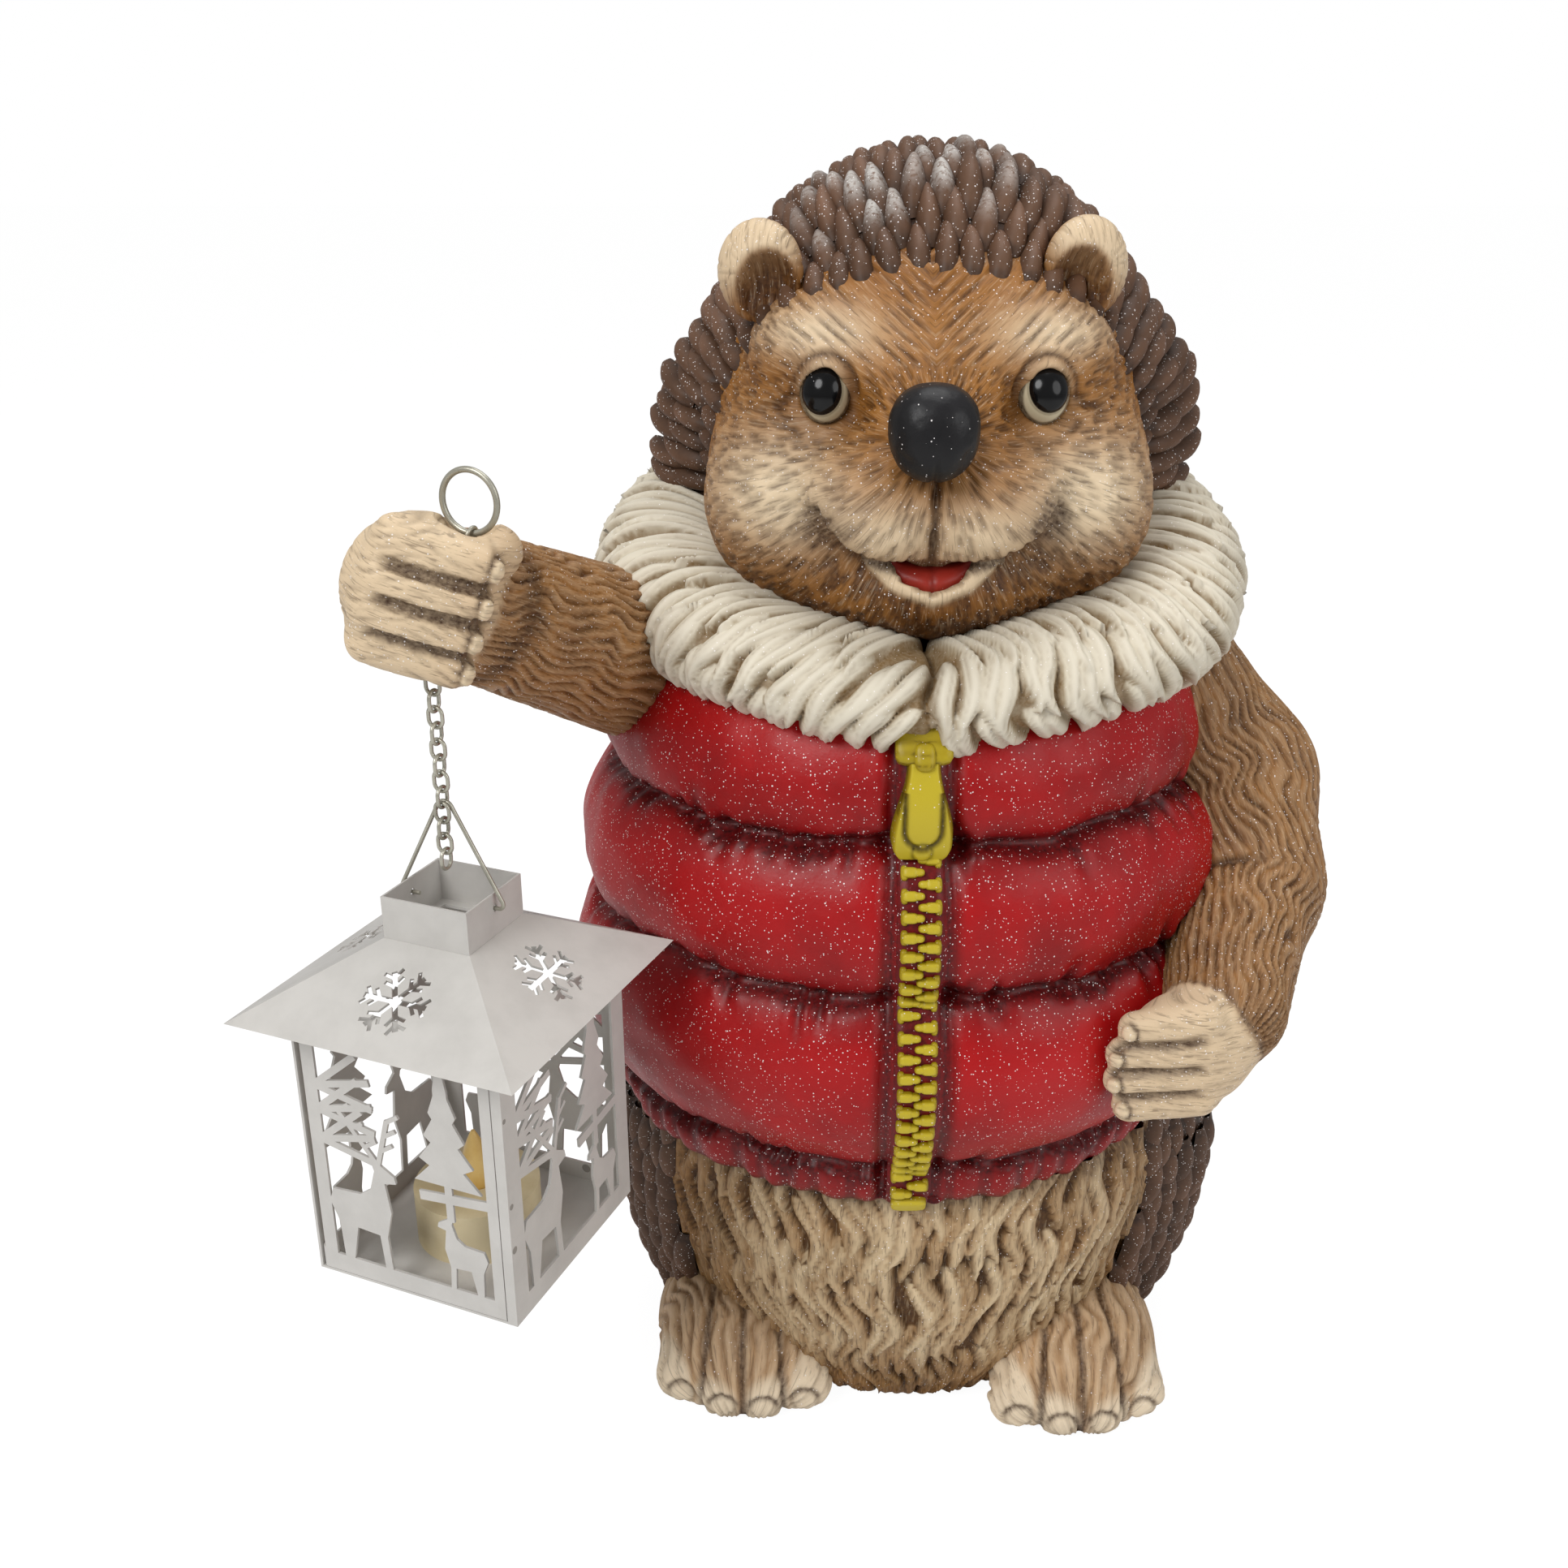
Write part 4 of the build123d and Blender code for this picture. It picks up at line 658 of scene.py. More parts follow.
def head():
    rows_fine, columns = 180, 520
    tilt = np.concatenate([np.linspace(0.6, 108, rows_fine), np.linspace(116, 179.5, 8)])
    tilt = np.radians(tilt)[:, None]
    turn = np.linspace(-np.pi, np.pi, columns, endpoint=False)[None, :]
    pole = np.array([-2.0, -76.0, 2.0])
    pole = unit(pole)
    side = np.cross(pole, (0, 0, 1.0))
    side = unit(side)
    top = np.cross(side, pole)
    rays = (
        np.cos(tilt)[..., None] * pole
        + np.sin(tilt)[..., None] * (np.cos(turn)[..., None] * top + np.sin(turn)[..., None] * side)
    )
    heading = rays.reshape(-1, 3)
    reach = np.full(len(heading), 130.0)
    for _ in range(60):
        reach -= 0.8 * head_shape(HEAD + heading * reach[:, None])
    points = HEAD + heading * reach[:, None]
    normal = slope(head_shape, points)
    x, z = points[:, 0] - 2.0, points[:, 2]
    front = step(-25.0, -45.0, points[:, 1])
    angle = (turn + np.zeros_like(tilt)).ravel()
    spread = (tilt + np.zeros_like(turn)).ravel() * 66.0
    lift = np.zeros(len(points))
    wash = np.zeros(len(points))
    light = np.zeros(len(points))
    girth = np.sin(np.minimum(spread / 66.0, np.pi / 2)) * 66.0
    strokes = np.zeros(len(points))
    waver = 1.2 * noise(points, 14.0, 51)
    halved = 2 ** np.clip(np.floor(np.log2(66.0 / np.maximum(girth, 4.0))), 0, 4)
    for layer in range(2):
        count = 144 / halved
        lane = angle / (2 * np.pi) * count + (waver / 2.9 + 0.5 * layer)
        key = np.mod(np.round(lane) * halved, 144)
        gap = np.abs(lane - np.round(lane)) * 2 * np.pi * girth / count
        run = spread / 11.0 + 7 * hashed(key, layer)
        place = np.floor(run)
        share = run - place
        first = 0.3 * hashed(key, place, layer + 2)
        last = 0.7 + 0.3 * hashed(key, place, layer + 4)
        window = step(first, first + 0.2, share) * step(last, last - 0.25, share)
        power = (hashed(key, place, layer + 6) > 0.15) * (0.5 + 0.5 * hashed(key, place, layer + 8))
        strokes = np.maximum(strokes, window * power * bump(gap, 0, 0.7))
    # Forehead strokes lie in a V above the nose
    forehead = step(360.0, 368.0, z) * step(46.0, 34.0, np.abs(x)) * front
    vee_across = z * 0.78 - np.abs(x) * 0.62
    vee_along = np.abs(x) * 0.78 + z * 0.62
    _, vee = carve(vee_across + waver, vee_along, 2.9, 13.0, 61, 0.62, 0.2)
    strokes = strokes * (1 - forehead) + vee * forehead
    muzzle = step(34.0, 24.0, np.hypot(x * 0.95, (z - 326.0) * 1.6)) * front
    smile_gap, smile_at = line_reach(x + 2.0, z, SMILE)
    rim_gap, _ = line_reach(x + 2.0, z, LIP_RIM)
    line_z = np.interp(x + 2.0, *np.transpose(SMILE))
    low_z = np.interp(x + 2.0, *np.transpose(LOWER_LIP), left=400, right=400)
    rim_z = np.interp(x + 2.0, *np.transpose(LIP_RIM), left=400, right=400)
    within = step(40.0, 34.0, np.abs(x - 1.0)) * front
    above = step(-0.6, 0.6, z - line_z)
    crease = bump(smile_gap, 0, 1.4) * within
    lift += within * 2.0 * above * bump(smile_gap, 0, 11.0)
    lift -= within * 1.8 * (1 - above) * bump(smile_gap, 0, 7.0)
    lift -= 1.8 * crease
    drawn = bump(np.where(above > 0.5, smile_gap, -smile_gap), -1.4, 1.8) * within
    opening = front * step(0.5, -0.5, z - line_z) * step(-0.5, 0.5, z - low_z)
    lift -= 8.5 * opening
    rim = front * step(1.2, -0.6, z - np.minimum(low_z, line_z)) * step(-2.2, 1.0, z - rim_z)
    lift += 2.3 * rim * (1 - opening)
    lift -= 1.0 * bump(rim_gap, 0, 1.4) * front * (np.abs(x) < 20)
    groove = bump(x, 0, 1.3) * step(309.5, 311.5, z) * step(340.0, 336.0, z) * front
    lift -= 2.2 * groove
    # Painted shade in the smile crease, the philtrum groove, the mouth corners, under the upper lip, in the mouth
    # opening, over the jaw and under the chin.
    wash += 1.2 * drawn * step(0.52, 0.4, np.abs(smile_at - 0.5)) + 0.6 * crease + 0.95 * groove
    corner = bump(np.hypot(np.abs(x - 1.0) - 30.5, z - 321.5), 0, 6.5) * front
    wash += 0.85 * corner
    wash += 0.5 * (1 - above) * bump(smile_gap, 0, 8.0) * within * (1 - rim)
    wash += 0.9 * opening
    jaw = front * step(318.0, 302.0, z) * (1 - rim)
    wash += 0.34 * jaw + 0.5 * step(300.0, 288.0, z)
    for side_sign, eye_x in ((-1, -27.9), (1, 33.4)):
        ex, ez = (points[:, 0] - eye_x) * side_sign, z - 355.4
        around_eye = np.hypot(ex / 6.7, ez / 7.9)
        over = step(-4.0, 4.0, ez)
        lid = bump(around_eye, 1.2 - 0.05 * over, 0.14) * front
        lift += lid * (1.0 + 2.2 * over)
        second = bump(around_eye, 1.62, 0.12) * front * step(-2.0, 3.0, ez)
        lift += 0.9 * second
        # Painted shade in the lid crease, inside the lid ring round the eyeball, and along the carved lines at the
        # eye's tail and under it.
        wash += 0.95 * bump(around_eye, 1.4, 0.09) * front * step(-4.0, 2.0, ez)
        wash += 0.8 * step(1.06 - 0.1 * over, 0.94 - 0.1 * over, around_eye) * front
        tail_gap, _ = line_reach(ex, ez, ((9.0, -1.0), (13.5, -4.0), (18.0, -4.5)))
        lift -= 1.2 * bump(tail_gap, 0, 1.2) * front
        wash += 0.6 * bump(tail_gap, 0, 1.3) * front
        bag_gap, _ = line_reach(ex, ez, ((-9.5, -5.0), (-4.0, -12.0), (5.0, -12.5), (11.0, -8.0)))
        lift -= 0.7 * bump(bag_gap, 0, 1.3) * front
        wash += 0.3 * bump(bag_gap, 0, 1.5) * front
        light += 0.85 * bump(np.hypot((ex - 3.0) / 17.0, (ez - 16.5) / 7.0), 0, 1) * front
        cheek = bump(np.hypot((ex - 14.0) / 19.0, (ez + 28.0) / 15.0), 0, 1) * front
        light += 1.1 * cheek
        strokes *= 1 - 0.3 * cheek
        light += 0.25 * lid * over
        strokes *= 1 - 0.85 * step(1.75, 1.5, around_eye) * front
    lobes = bump(np.hypot((np.abs(x) - 11.0) / 15.0, (z - 320.0) / 9.5), 0, 1) * front
    light += 0.85 * lobes * above + 0.85 * rim
    strokes *= (1 - opening) * (1 - rim)
    lift -= 0.95 * strokes
    lift += 0.25 * noise(points, 3.0, 71)
    wash += (0.9 - 0.2 * muzzle) * strokes
    points = points + normal * lift[:, None]
    faces = sheet_faces(len(tilt), columns, True)[:, ::-1]
    vee_way = forehead > 0.5
    flow = (
        np.where(vee_way, vee_across, angle * 42.0),
        np.where(vee_way, vee_along, spread),
    )
    build("head_fur", points, faces, FUR, ["head"], "fur_brown", flow,
          wash=wash, light=light)


head()


def mouth():
    """Red hollow between the lips, with the tongue's rounded back."""
    rows, columns = 40, 72
    x = np.linspace(-14.0, 19.0, columns)[None, :] + np.zeros((rows, 1))
    share = np.linspace(0, 1, rows)[:, None] + np.zeros_like(x)
    low = np.interp(x, *np.transpose(LOWER_LIP)) - 2.0
    high = np.interp(x, *np.transpose(SMILE)) + 2.5
    z = low + (high - low) * share
    y = np.full(x.shape, -125.0)
    for _ in range(60):
        y += 0.8 * head_shape(np.stack([x, y, z], -1).reshape(-1, 3)).reshape(x.shape)
    tongue = bump(x, 2.4, 9.5) * bump(share, 0.3, 0.3)
    y += 4.2 - 2.2 * tongue + 3.0 * step(0.55, 0.9, share)
    line = bump(x, 2.4, 0.9) * tongue
    points = np.stack([x, y + 0.5 * line, z], -1).reshape(-1, 3)
    # The back of the hollow under the upper lip is darkened as painted shade.
    build("mouth_hollow", points, sheet_faces(rows, columns, False), MOUTH, ["mouth"], "mouth_red",
          wash=0.9 * step(0.5, 0.75, share) + 0.4 * line, light=0.6 * tongue)


mouth()


# Quills: blunt leaf shapes in staggered rows, over a coat darkened all over as painted shade between them


def leaf(length, width, height):
    """Points and faces of one quill lying along +X from its root, thick side up. Also returns the share of its
    length and the distance from its middle line, from 0 to 1, at each point."""
    rows, columns = 11, 9
    share = np.linspace(0, 1, rows)
    plan = np.sin(np.pi * (0.2 + 0.75 * share)) ** 0.5
    rise = np.sin(np.pi * (0.1 + 0.8 * share)) ** 0.7
    across = np.linspace(-1, 1, columns)
    points = np.empty((rows, columns, 3))
    points[..., 0] = (share * length)[:, None]
    points[..., 1] = across[None, :] * (plan * width / 2)[:, None]
    swell = (1 - np.abs(across[None, :]) ** 2.4) * (rise * height)[:, None]
    points[..., 2] = swell + share[:, None] * height * 0.35 - 1.0
    faces = sheet_faces(rows, columns, False)
    return points.reshape(-1, 3), faces, np.repeat(share, columns), np.tile(np.abs(across), rows)


def plant(name, places, material, nodes, slot, seed):
    """One mesh of quills: each place gives a root, the ways along and out, a length, width, height and frost."""
    meshes, wash, light, frost = [], [], [], []
    for index, (root, ahead, out, length, width, height, snow) in enumerate(places):
        points, faces, share, edge = leaf(length, width, height)
        side = np.cross(out, ahead)
        points[:, 2] -= points[:, 0] ** 2 / 150.0
        twist = 0.5 * (hashed(index, seed) - 0.5)
        points[:, 1] += twist * points[:, 0] * 0.35
        meshes.append((root + points[:, :1] * ahead + points[:, 1:2] * side + points[:, 2:] * out, faces))
        # Quill edges and roots are darkened as painted shade where the quills overlap; the share per quill is a random
        # tone.
        wash.append(0.85 * edge**3 + 0.5 * (share < 0.12) + 0.25 * hashed(index, seed + 1))
        light.append(0.5 * (1 - edge) * step(0.2, 0.6, share) * hashed(index, seed + 2))
        frost.append(snow * (1 - edge**2) * step(0.25, 0.7, share))
    points, faces = gather(meshes)
    build(name, points, faces, material, nodes, slot,
          wash=np.concatenate(wash), light=np.concatenate(light), frost=np.concatenate(frost))


CROWN = np.array([6.0, 8.0, 330.0])
CROWN_RADII = np.array([80.0, 71.0, 87.5])
FACE_LEAN = math.radians(18)
FACE_WAY = np.array([0.0, -math.cos(FACE_LEAN), -math.sin(FACE_LEAN)])
CROWN_TOP = np.array([0.0, -math.sin(FACE_LEAN), math.cos(FACE_LEAN)])
CROWN_SIDE = np.array([1.0, 0.0, 0.0])
HAIRLINE = math.radians(67)
HAIRLINE_DIP = math.radians(6)


def crown_spot(tilt, turn):
    """Points of the quill coat, which meets the head at the hairline, at tilts from the face and turns from the top."""
    aside = np.cos(turn)[:, None] * CROWN_TOP + np.sin(turn)[:, None] * CROWN_SIDE
    way = np.cos(tilt)[:, None] * FACE_WAY + np.sin(tilt)[:, None] * aside
    narrow = 1 - 0.1 * step(0.1, 0.8, way[:, 2])
    same = np.ones_like(narrow)
    full = 1 / np.linalg.norm(way / CROWN_RADII / np.stack([narrow, same, same], -1), axis=1)
    reach = np.full(len(way), 120.0)
    for _ in range(40):
        reach -= 0.8 * head_shape(CROWN + way * reach[:, None])
    edge = HAIRLINE - HAIRLINE_DIP * np.clip(np.cos(turn), 0, 1)
    grown = step(edge - 0.04, edge + 0.42, tilt)
    return CROWN + way * ((reach - 1.5) * (1 - grown) + full * grown)[:, None]


def crown_frames(tilt, turn, lean):
    """Roots of quills, their ways along the coat, tipped outward by lean, and their ways out."""
    root = crown_spot(tilt, turn)
    ahead = unit(crown_spot(tilt + 0.03, turn) - root)
    out = unit(np.cross(crown_spot(tilt, turn + 0.03) - root, ahead))
    out *= np.sign(np.sum(out * (root - CROWN), axis=1, keepdims=True))
    return root, ahead * math.cos(lean) + out * math.sin(lean), out * math.cos(lean) - ahead * math.sin(lean)


def head_quills():
    spots = []
    for row in range(17):
        tilt = HAIRLINE + 0.03 + row * 0.12
        if tilt > math.radians(178):
            break
        dip = HAIRLINE_DIP * max(1 - row / 8, 0)
        count = max(int(round(2 * math.pi * 76.0 * math.sin(tilt) / 7.5)), 3)
        for index in range(count):
            key = row * 101 + index
            turn = 2 * math.pi * (index + 0.5 * (row % 2) + 0.25 * (hashed(key, 3) - 0.5)) / count
            low = tilt - dip * max(math.cos(turn), 0.0)
            spots.append((low + 0.03 * (hashed(key, 5) - 0.5), turn, row, key))
    tilt, turn, rows, keys = np.array(spots).T
    places = []
    for root, ahead, out, angle, row, key in zip(*crown_frames(tilt, turn, 0.06), turn, rows, keys):
        if root[2] < 287:
            continue
        snow = (0.4 + 0.4 * hashed(key, 9)) * (1 <= row <= 4) * (hashed(key, 7) > 0.4)
        snow *= float(step(0.9, 0.98, math.cos(angle + 0.12)))
        length = 21.0 + 5.0 * hashed(key, 11)
        width = 8.0 + 1.2 * hashed(key, 13)
        height = 5.2 + 1.3 * hashed(key, 17)
        places.append((root - 1.0 * out, ahead, out, length, width, height, snow))
    plant("crown_quills", places, QUILL, ["head_quills"], "quill_brown", 81)
    rows, columns = 60, 90
    tilt = np.repeat(np.linspace(HAIRLINE - 0.05, math.pi - 0.01, rows), columns)
    turn = np.tile(np.linspace(0, 2 * np.pi, columns, endpoint=False), rows)
    points = crown_spot(tilt, turn)
    points[:, 2] = np.maximum(points[:, 2], 287.0)
    flat = np.ones(len(points))
    # The coat under the head quills is darkened all over as painted shade between them.
    build("crown_coat", points, sheet_faces(rows, columns, True), QUILL, [], "quill_brown",
          wash=flat, light=0 * flat, frost=0 * flat)


head_quills()


def back_spot(turn, z):
    """Points of the quill coat behind the belly at turns from the back; it thins out toward the front."""
    thick = (8.0 + 8.0 * np.clip(np.sin(turn), 0, 1)) * step(-0.5, -0.1, np.cos(turn))
    reach = belly_radius(z) - 1.0 + thick * step(0, 22, z) * step(113, 90, z)
    return np.stack([BELLY_X + 1.03 * reach * np.sin(turn), 0.93 * reach * np.cos(turn), z], -1)


def back_quills():
    places = []
    for row in range(9):
        z = 25.0 + row * 10.5
        count = int(2 * math.pi * (belly_radius(z) + 12.0) / 9.0)
        for index in range(count):
            key = row * 131 + index
            turn = 2 * math.pi * (index + 0.5 * (row % 2)) / count
            if math.cos(turn) < -0.5:
                continue
            root = back_spot(np.array(turn), np.array(z))
            out = np.array([math.sin(turn), math.cos(turn), -0.25])
            out = unit(out)
            ahead = np.array([0.0, 0.0, -1.0])
            ahead = ahead - out * (ahead @ out)
            ahead = unit(ahead)
            ahead = ahead * math.cos(0.15) + out * math.sin(0.15)
            out = out - ahead * (out @ ahead)
            out = unit(out)
            length = min(20.0 + 4.0 * hashed(key, 3), root[2] - 3.0)
            places.append((root, ahead, out, length, 9.6, 6.0, 0.0))
    plant("back_quills_rows", places, QUILL, ["back_quills"], "quill_brown", 91)
    rows, columns = 24, 120
    z = np.repeat(np.linspace(1.0, 112.0, rows), columns)
    turn = np.tile(np.linspace(-2.1, 2.1, columns), rows)
    flat = np.ones(rows * columns)
    faces = sheet_faces(rows, columns, False)[:, ::-1]
    # The coat under the back quills is darkened all over as painted shade between them.
    build("back_coat", back_spot(turn, z), faces, QUILL, [], "quill_brown",
          wash=flat, light=0 * flat, frost=0 * flat)


back_quills()


# Limbs: brown arms with wavy strokes, pale paws with dark lines between the fingers

PAW = np.array([-133.42, -108.04, 312.0])
FINGER = np.array([0.9455, 0.0, -0.3256])
BORE = np.array([0.3256, 0.0, 0.9455])
RING_FOOT = np.array([-119.89, -108.04, 327.29])
FRONT = np.array([0.0, -1.0, 0.0])


def limb_lines(points, start, end):
    """Place along a limb, and angle round it counted from its front."""
    start = np.asarray(start, float)
    way = np.asarray(end, float) - start
    way = unit(way)
    local = points - start
    along = local @ way
    front = FRONT - way * (FRONT @ way)
    front = unit(front)
    side = np.cross(way, front)
    return along, np.arctan2(local @ side, local @ front)


def fur_strokes(along, angle, radius, seed):
    """Wavy carved strokes along a limb. Returns lift, a dark groove wash that also lays painted shade in the cuts, and
    light.
    """
    across = angle * radius
    flat = np.stack([across, along, np.zeros_like(along)], -1)
    sway = 1.9 * np.sin(along / 5.2 + 2.5 * noise(flat, 16.0, seed)) + 2.4 * noise(flat, 12.0, seed + 1)
    ridge, cut = carve(across + sway, along, 3.7, 17.0, seed + 2, 0.8, 0.12)
    _, fine = carve(across + sway + 1.2, along, 1.9, 9.0, seed + 5, 0.45, 0.5)
    return 0.5 * ridge - 1.25 * cut - 0.4 * fine, 0.85 * cut + 0.4 * fine, 0.22 * ridge


def nail(points, center, out, up, size):
    """Flat oval nail with a dark line round its root. Returns lift, a dark wash that also lays painted shade in the
    root line, and light.
    """
    out = unit(out)
    up = up - out * (up @ out)
    up = unit(up)
    side = np.cross(up, out)
    local = points - center
    reach = np.hypot(local @ side / size[0], local @ up / size[1])
    near = step(2.2 * max(size), 1.4 * max(size), np.linalg.norm(local, axis=1))
    edge = bump(reach, 1.12, 0.2) * near
    root = edge * step(-0.3, 0.5, local @ up / size[1])
    lift = 0.5 * step(1.0, 0.6, reach) * near - 0.8 * edge
    return lift, 0.8 * root + 0.3 * edge, 0.5 * step(1.0, 0.8, reach) * near


def raised_arm():
    shoulder = np.array([-72.0, 10.0, 251.0])
    way = PAW - shoulder
    wrist = PAW - 18.0 * way / np.linalg.norm(way)
    rises = [(index - 1.5) * 9.6 for index in range(4)]

    def paw_shape(points):
        local = points - PAW
        place = np.stack([local @ FINGER, local @ BORE, -local[:, 1]], -1)
        shape = ellipsoid(place, (-1.5, 0.0, 1.0), (20.0, 20.8, 17.8))
        for rise in rises:
            middle = PAW + BORE * rise + FRONT * (12.2 - 0.012 * rise**2)
            shape = merge(shape, bar(points, middle - FINGER * 9, middle + FINGER * 14, 6.0, 5.4), 4.5)
        thumb = PAW + FINGER * 13.5 + BORE * 15.5
        return merge(shape, ellipsoid(points, thumb, (8.6, 8.6, 7.6)), 3.0)

    def shape(points):
        made = merge(bar(points, shoulder, wrist, 29.0, 20.0), paw_shape(points), 4.0)
        made = cut_away(made, bar(points, PAW - BORE * 40, RING_FOOT, 4.0, 4.0), 0.8)
        funnel = bar(points, RING_FOOT - (0, 0, 2.0), RING_FOOT + (0, 0, 11.5), 5.2, 12.4)
        return cut_away(made, funnel, 0.8)

    points, faces, normal = skin(shape, (-162, -134, 220), (-64, 42, 346), 0.85)
    along, angle = limb_lines(points, shoulder, PAW)
    lift, wash, light = fur_strokes(along, angle, 24.0, 101)
    paw = step(3.2, 0.6, paw_shape(points))
    local = points - PAW
    f, u, n = local @ FINGER, local @ BORE, -local[:, 1]
    _, hair = carve(u + 0.35 * np.abs(f) + 1.2 * noise(points, 9.0, 111), f, 2.8, 9.0, 112, 0.55, 0.3)
    # Painted shade darkens the cuff where the paw meets the arm.
    cuff = bump(along, np.linalg.norm(way) - 21.0, 5.0)
    wash = wash * (1 - paw) + 0.55 * hair * paw + 0.75 * cuff * (1 - paw)
    lift = lift * (1 - paw) - 0.5 * hair * paw
    light = light * (1 - paw) + paw * (0.88 - 0.25 * step(4.0, 22.0, f))
    # The grooves between the fingers are darkened as wash and painted shade.
    for rise in (-9.6, 0.0, 9.6):
        line = step(2.2, 1.0, np.abs(u - rise)) * step(-12.0, -6.0, f)
        line = line * step(2.0, 7.0, n) * step(25.0, 20.0, f)
        lift -= 2.2 * line
        wash += 1.1 * line
    for rise in rises:
        tip = PAW + BORE * rise + FRONT * (14.6 - 0.012 * rise**2) + FINGER * 18.0
        raise_, dark, pale = nail(points, tip, FINGER + 0.6 * FRONT, BORE, (2.6, 3.6))
        lift += raise_
        wash += dark
        light += pale
    flow = (np.where(paw > 0.5, u, angle * 24.0), np.where(paw > 0.5, f, along))
    build("raised_arm_fur", points + normal * lift[:, None], faces, FUR, ["arm_raised"], "fur_brown", flow,
          wash=wash, light=light)


raised_arm()


def resting_arm():
    shoulder, elbow = np.array([82.0, -2.0, 256.0]), np.array([114.0, -24.0, 188.0])
    bend = np.array([110.0, -8.0, 219.0])
    wrist, hand = np.array([98.0, -78.0, 171.0]), np.array([85.0, -90.0, 163.0])
    rises = [(index - 1.5) * 9.0 for index in range(4)]
    knuckles = [hand + (2.0, -6.0, rise) for rise in rises]
    tips = [hand + (-22.0 + 0.02 * rise**2, -4.5, rise - 4.0) for rise in rises]

    def hand_shape(points):
        shape = ellipsoid(points, hand, (20.0, 13.0, 19.5))
        for knuckle, tip in zip(knuckles, tips):
            shape = merge(shape, bar(points, knuckle, tip, 6.2, 5.2), 3.5)
        return shape

    def shape(points):
        made = merge(bar(points, shoulder, bend, 29.0, 29.0), bar(points, bend, elbow, 29.0, 26.0), 10.0)
        made = merge(made, bar(points, elbow, wrist, 26.0, 19.0), 12.0)
        return merge(made, hand_shape(points), 5.0)

    points, faces, normal = skin(shape, (56, -114, 138), (148, 30, 290), 0.9)
    upper, upper_turn = limb_lines(points, shoulder, elbow)
    lower, lower_turn = limb_lines(points, elbow, wrist)
    from_upper = bar(points, shoulder, elbow, 30.0, 28.0)
    on_lower = step(-3.0, 3.0, from_upper - bar(points, elbow, wrist, 28.0, 19.0))
    upper_fur = fur_strokes(upper, upper_turn, 27.0, 131)
    lower_fur = fur_strokes(lower, lower_turn, 22.0, 141)
    lift, wash, light = [a * (1 - on_lower) + b * on_lower for a, b in zip(upper_fur, lower_fur)]
    # Painted shade darkens the elbow crease.
    crease = bump(on_lower, 0.5, 0.3) * step(6.0, -10.0, points[:, 0] - elbow[0])
    lift -= 1.8 * crease
    wash += 0.8 * crease
    paw = step(3.0, 0.5, hand_shape(points))
    local = points - hand
    _, hair = carve(local[:, 2] + 1.3 * noise(points, 8.0, 151), local[:, 0], 2.7, 8.0, 152, 0.5, 0.35)
    # A dark band round the hand's edge is painted shade where it meets the arm.
    wash = wash * (1 - paw) + 0.5 * hair * paw + 0.6 * bump(paw, 0.3, 0.25)
    lift = lift * (1 - paw) - 0.45 * hair * paw
    light = light * (1 - paw) + 0.82 * paw
    # The grooves between the fingers are darkened as wash and painted shade.
    for rise in (-9.0, 0.0, 9.0):
        droop = -4.0 * np.clip(-local[:, 0] / 22.0, 0, 1.2)
        line = bump(local[:, 2], rise + droop, 1.5) * step(4.0, -2.0, local[:, 0])
        line *= step(-4.0, -8.0, local[:, 1])
        lift -= 1.8 * line
        wash += 1.1 * line
    for tip in tips:
        raise_, dark, pale = nail(points, tip + (-3.0, -4.0, 0.0), np.array([-0.6, -0.8, 0.0]),
                                  np.array([1.0, 0.0, 0.25]), (3.0, 2.6))
        lift += raise_
        wash += dark
        light += pale
    turn = np.where(on_lower > 0.5, lower_turn * 22.0, upper_turn * 27.0)
    along = np.where(on_lower > 0.5, lower, upper)
    flow = (np.where(paw > 0.5, local[:, 2], turn), np.where(paw > 0.5, local[:, 0], along))
    build("resting_arm_fur", points + normal * lift[:, None], faces, FUR, ["arm_resting"], "fur_brown", flow,
          wash=wash, light=light)


resting_arm()


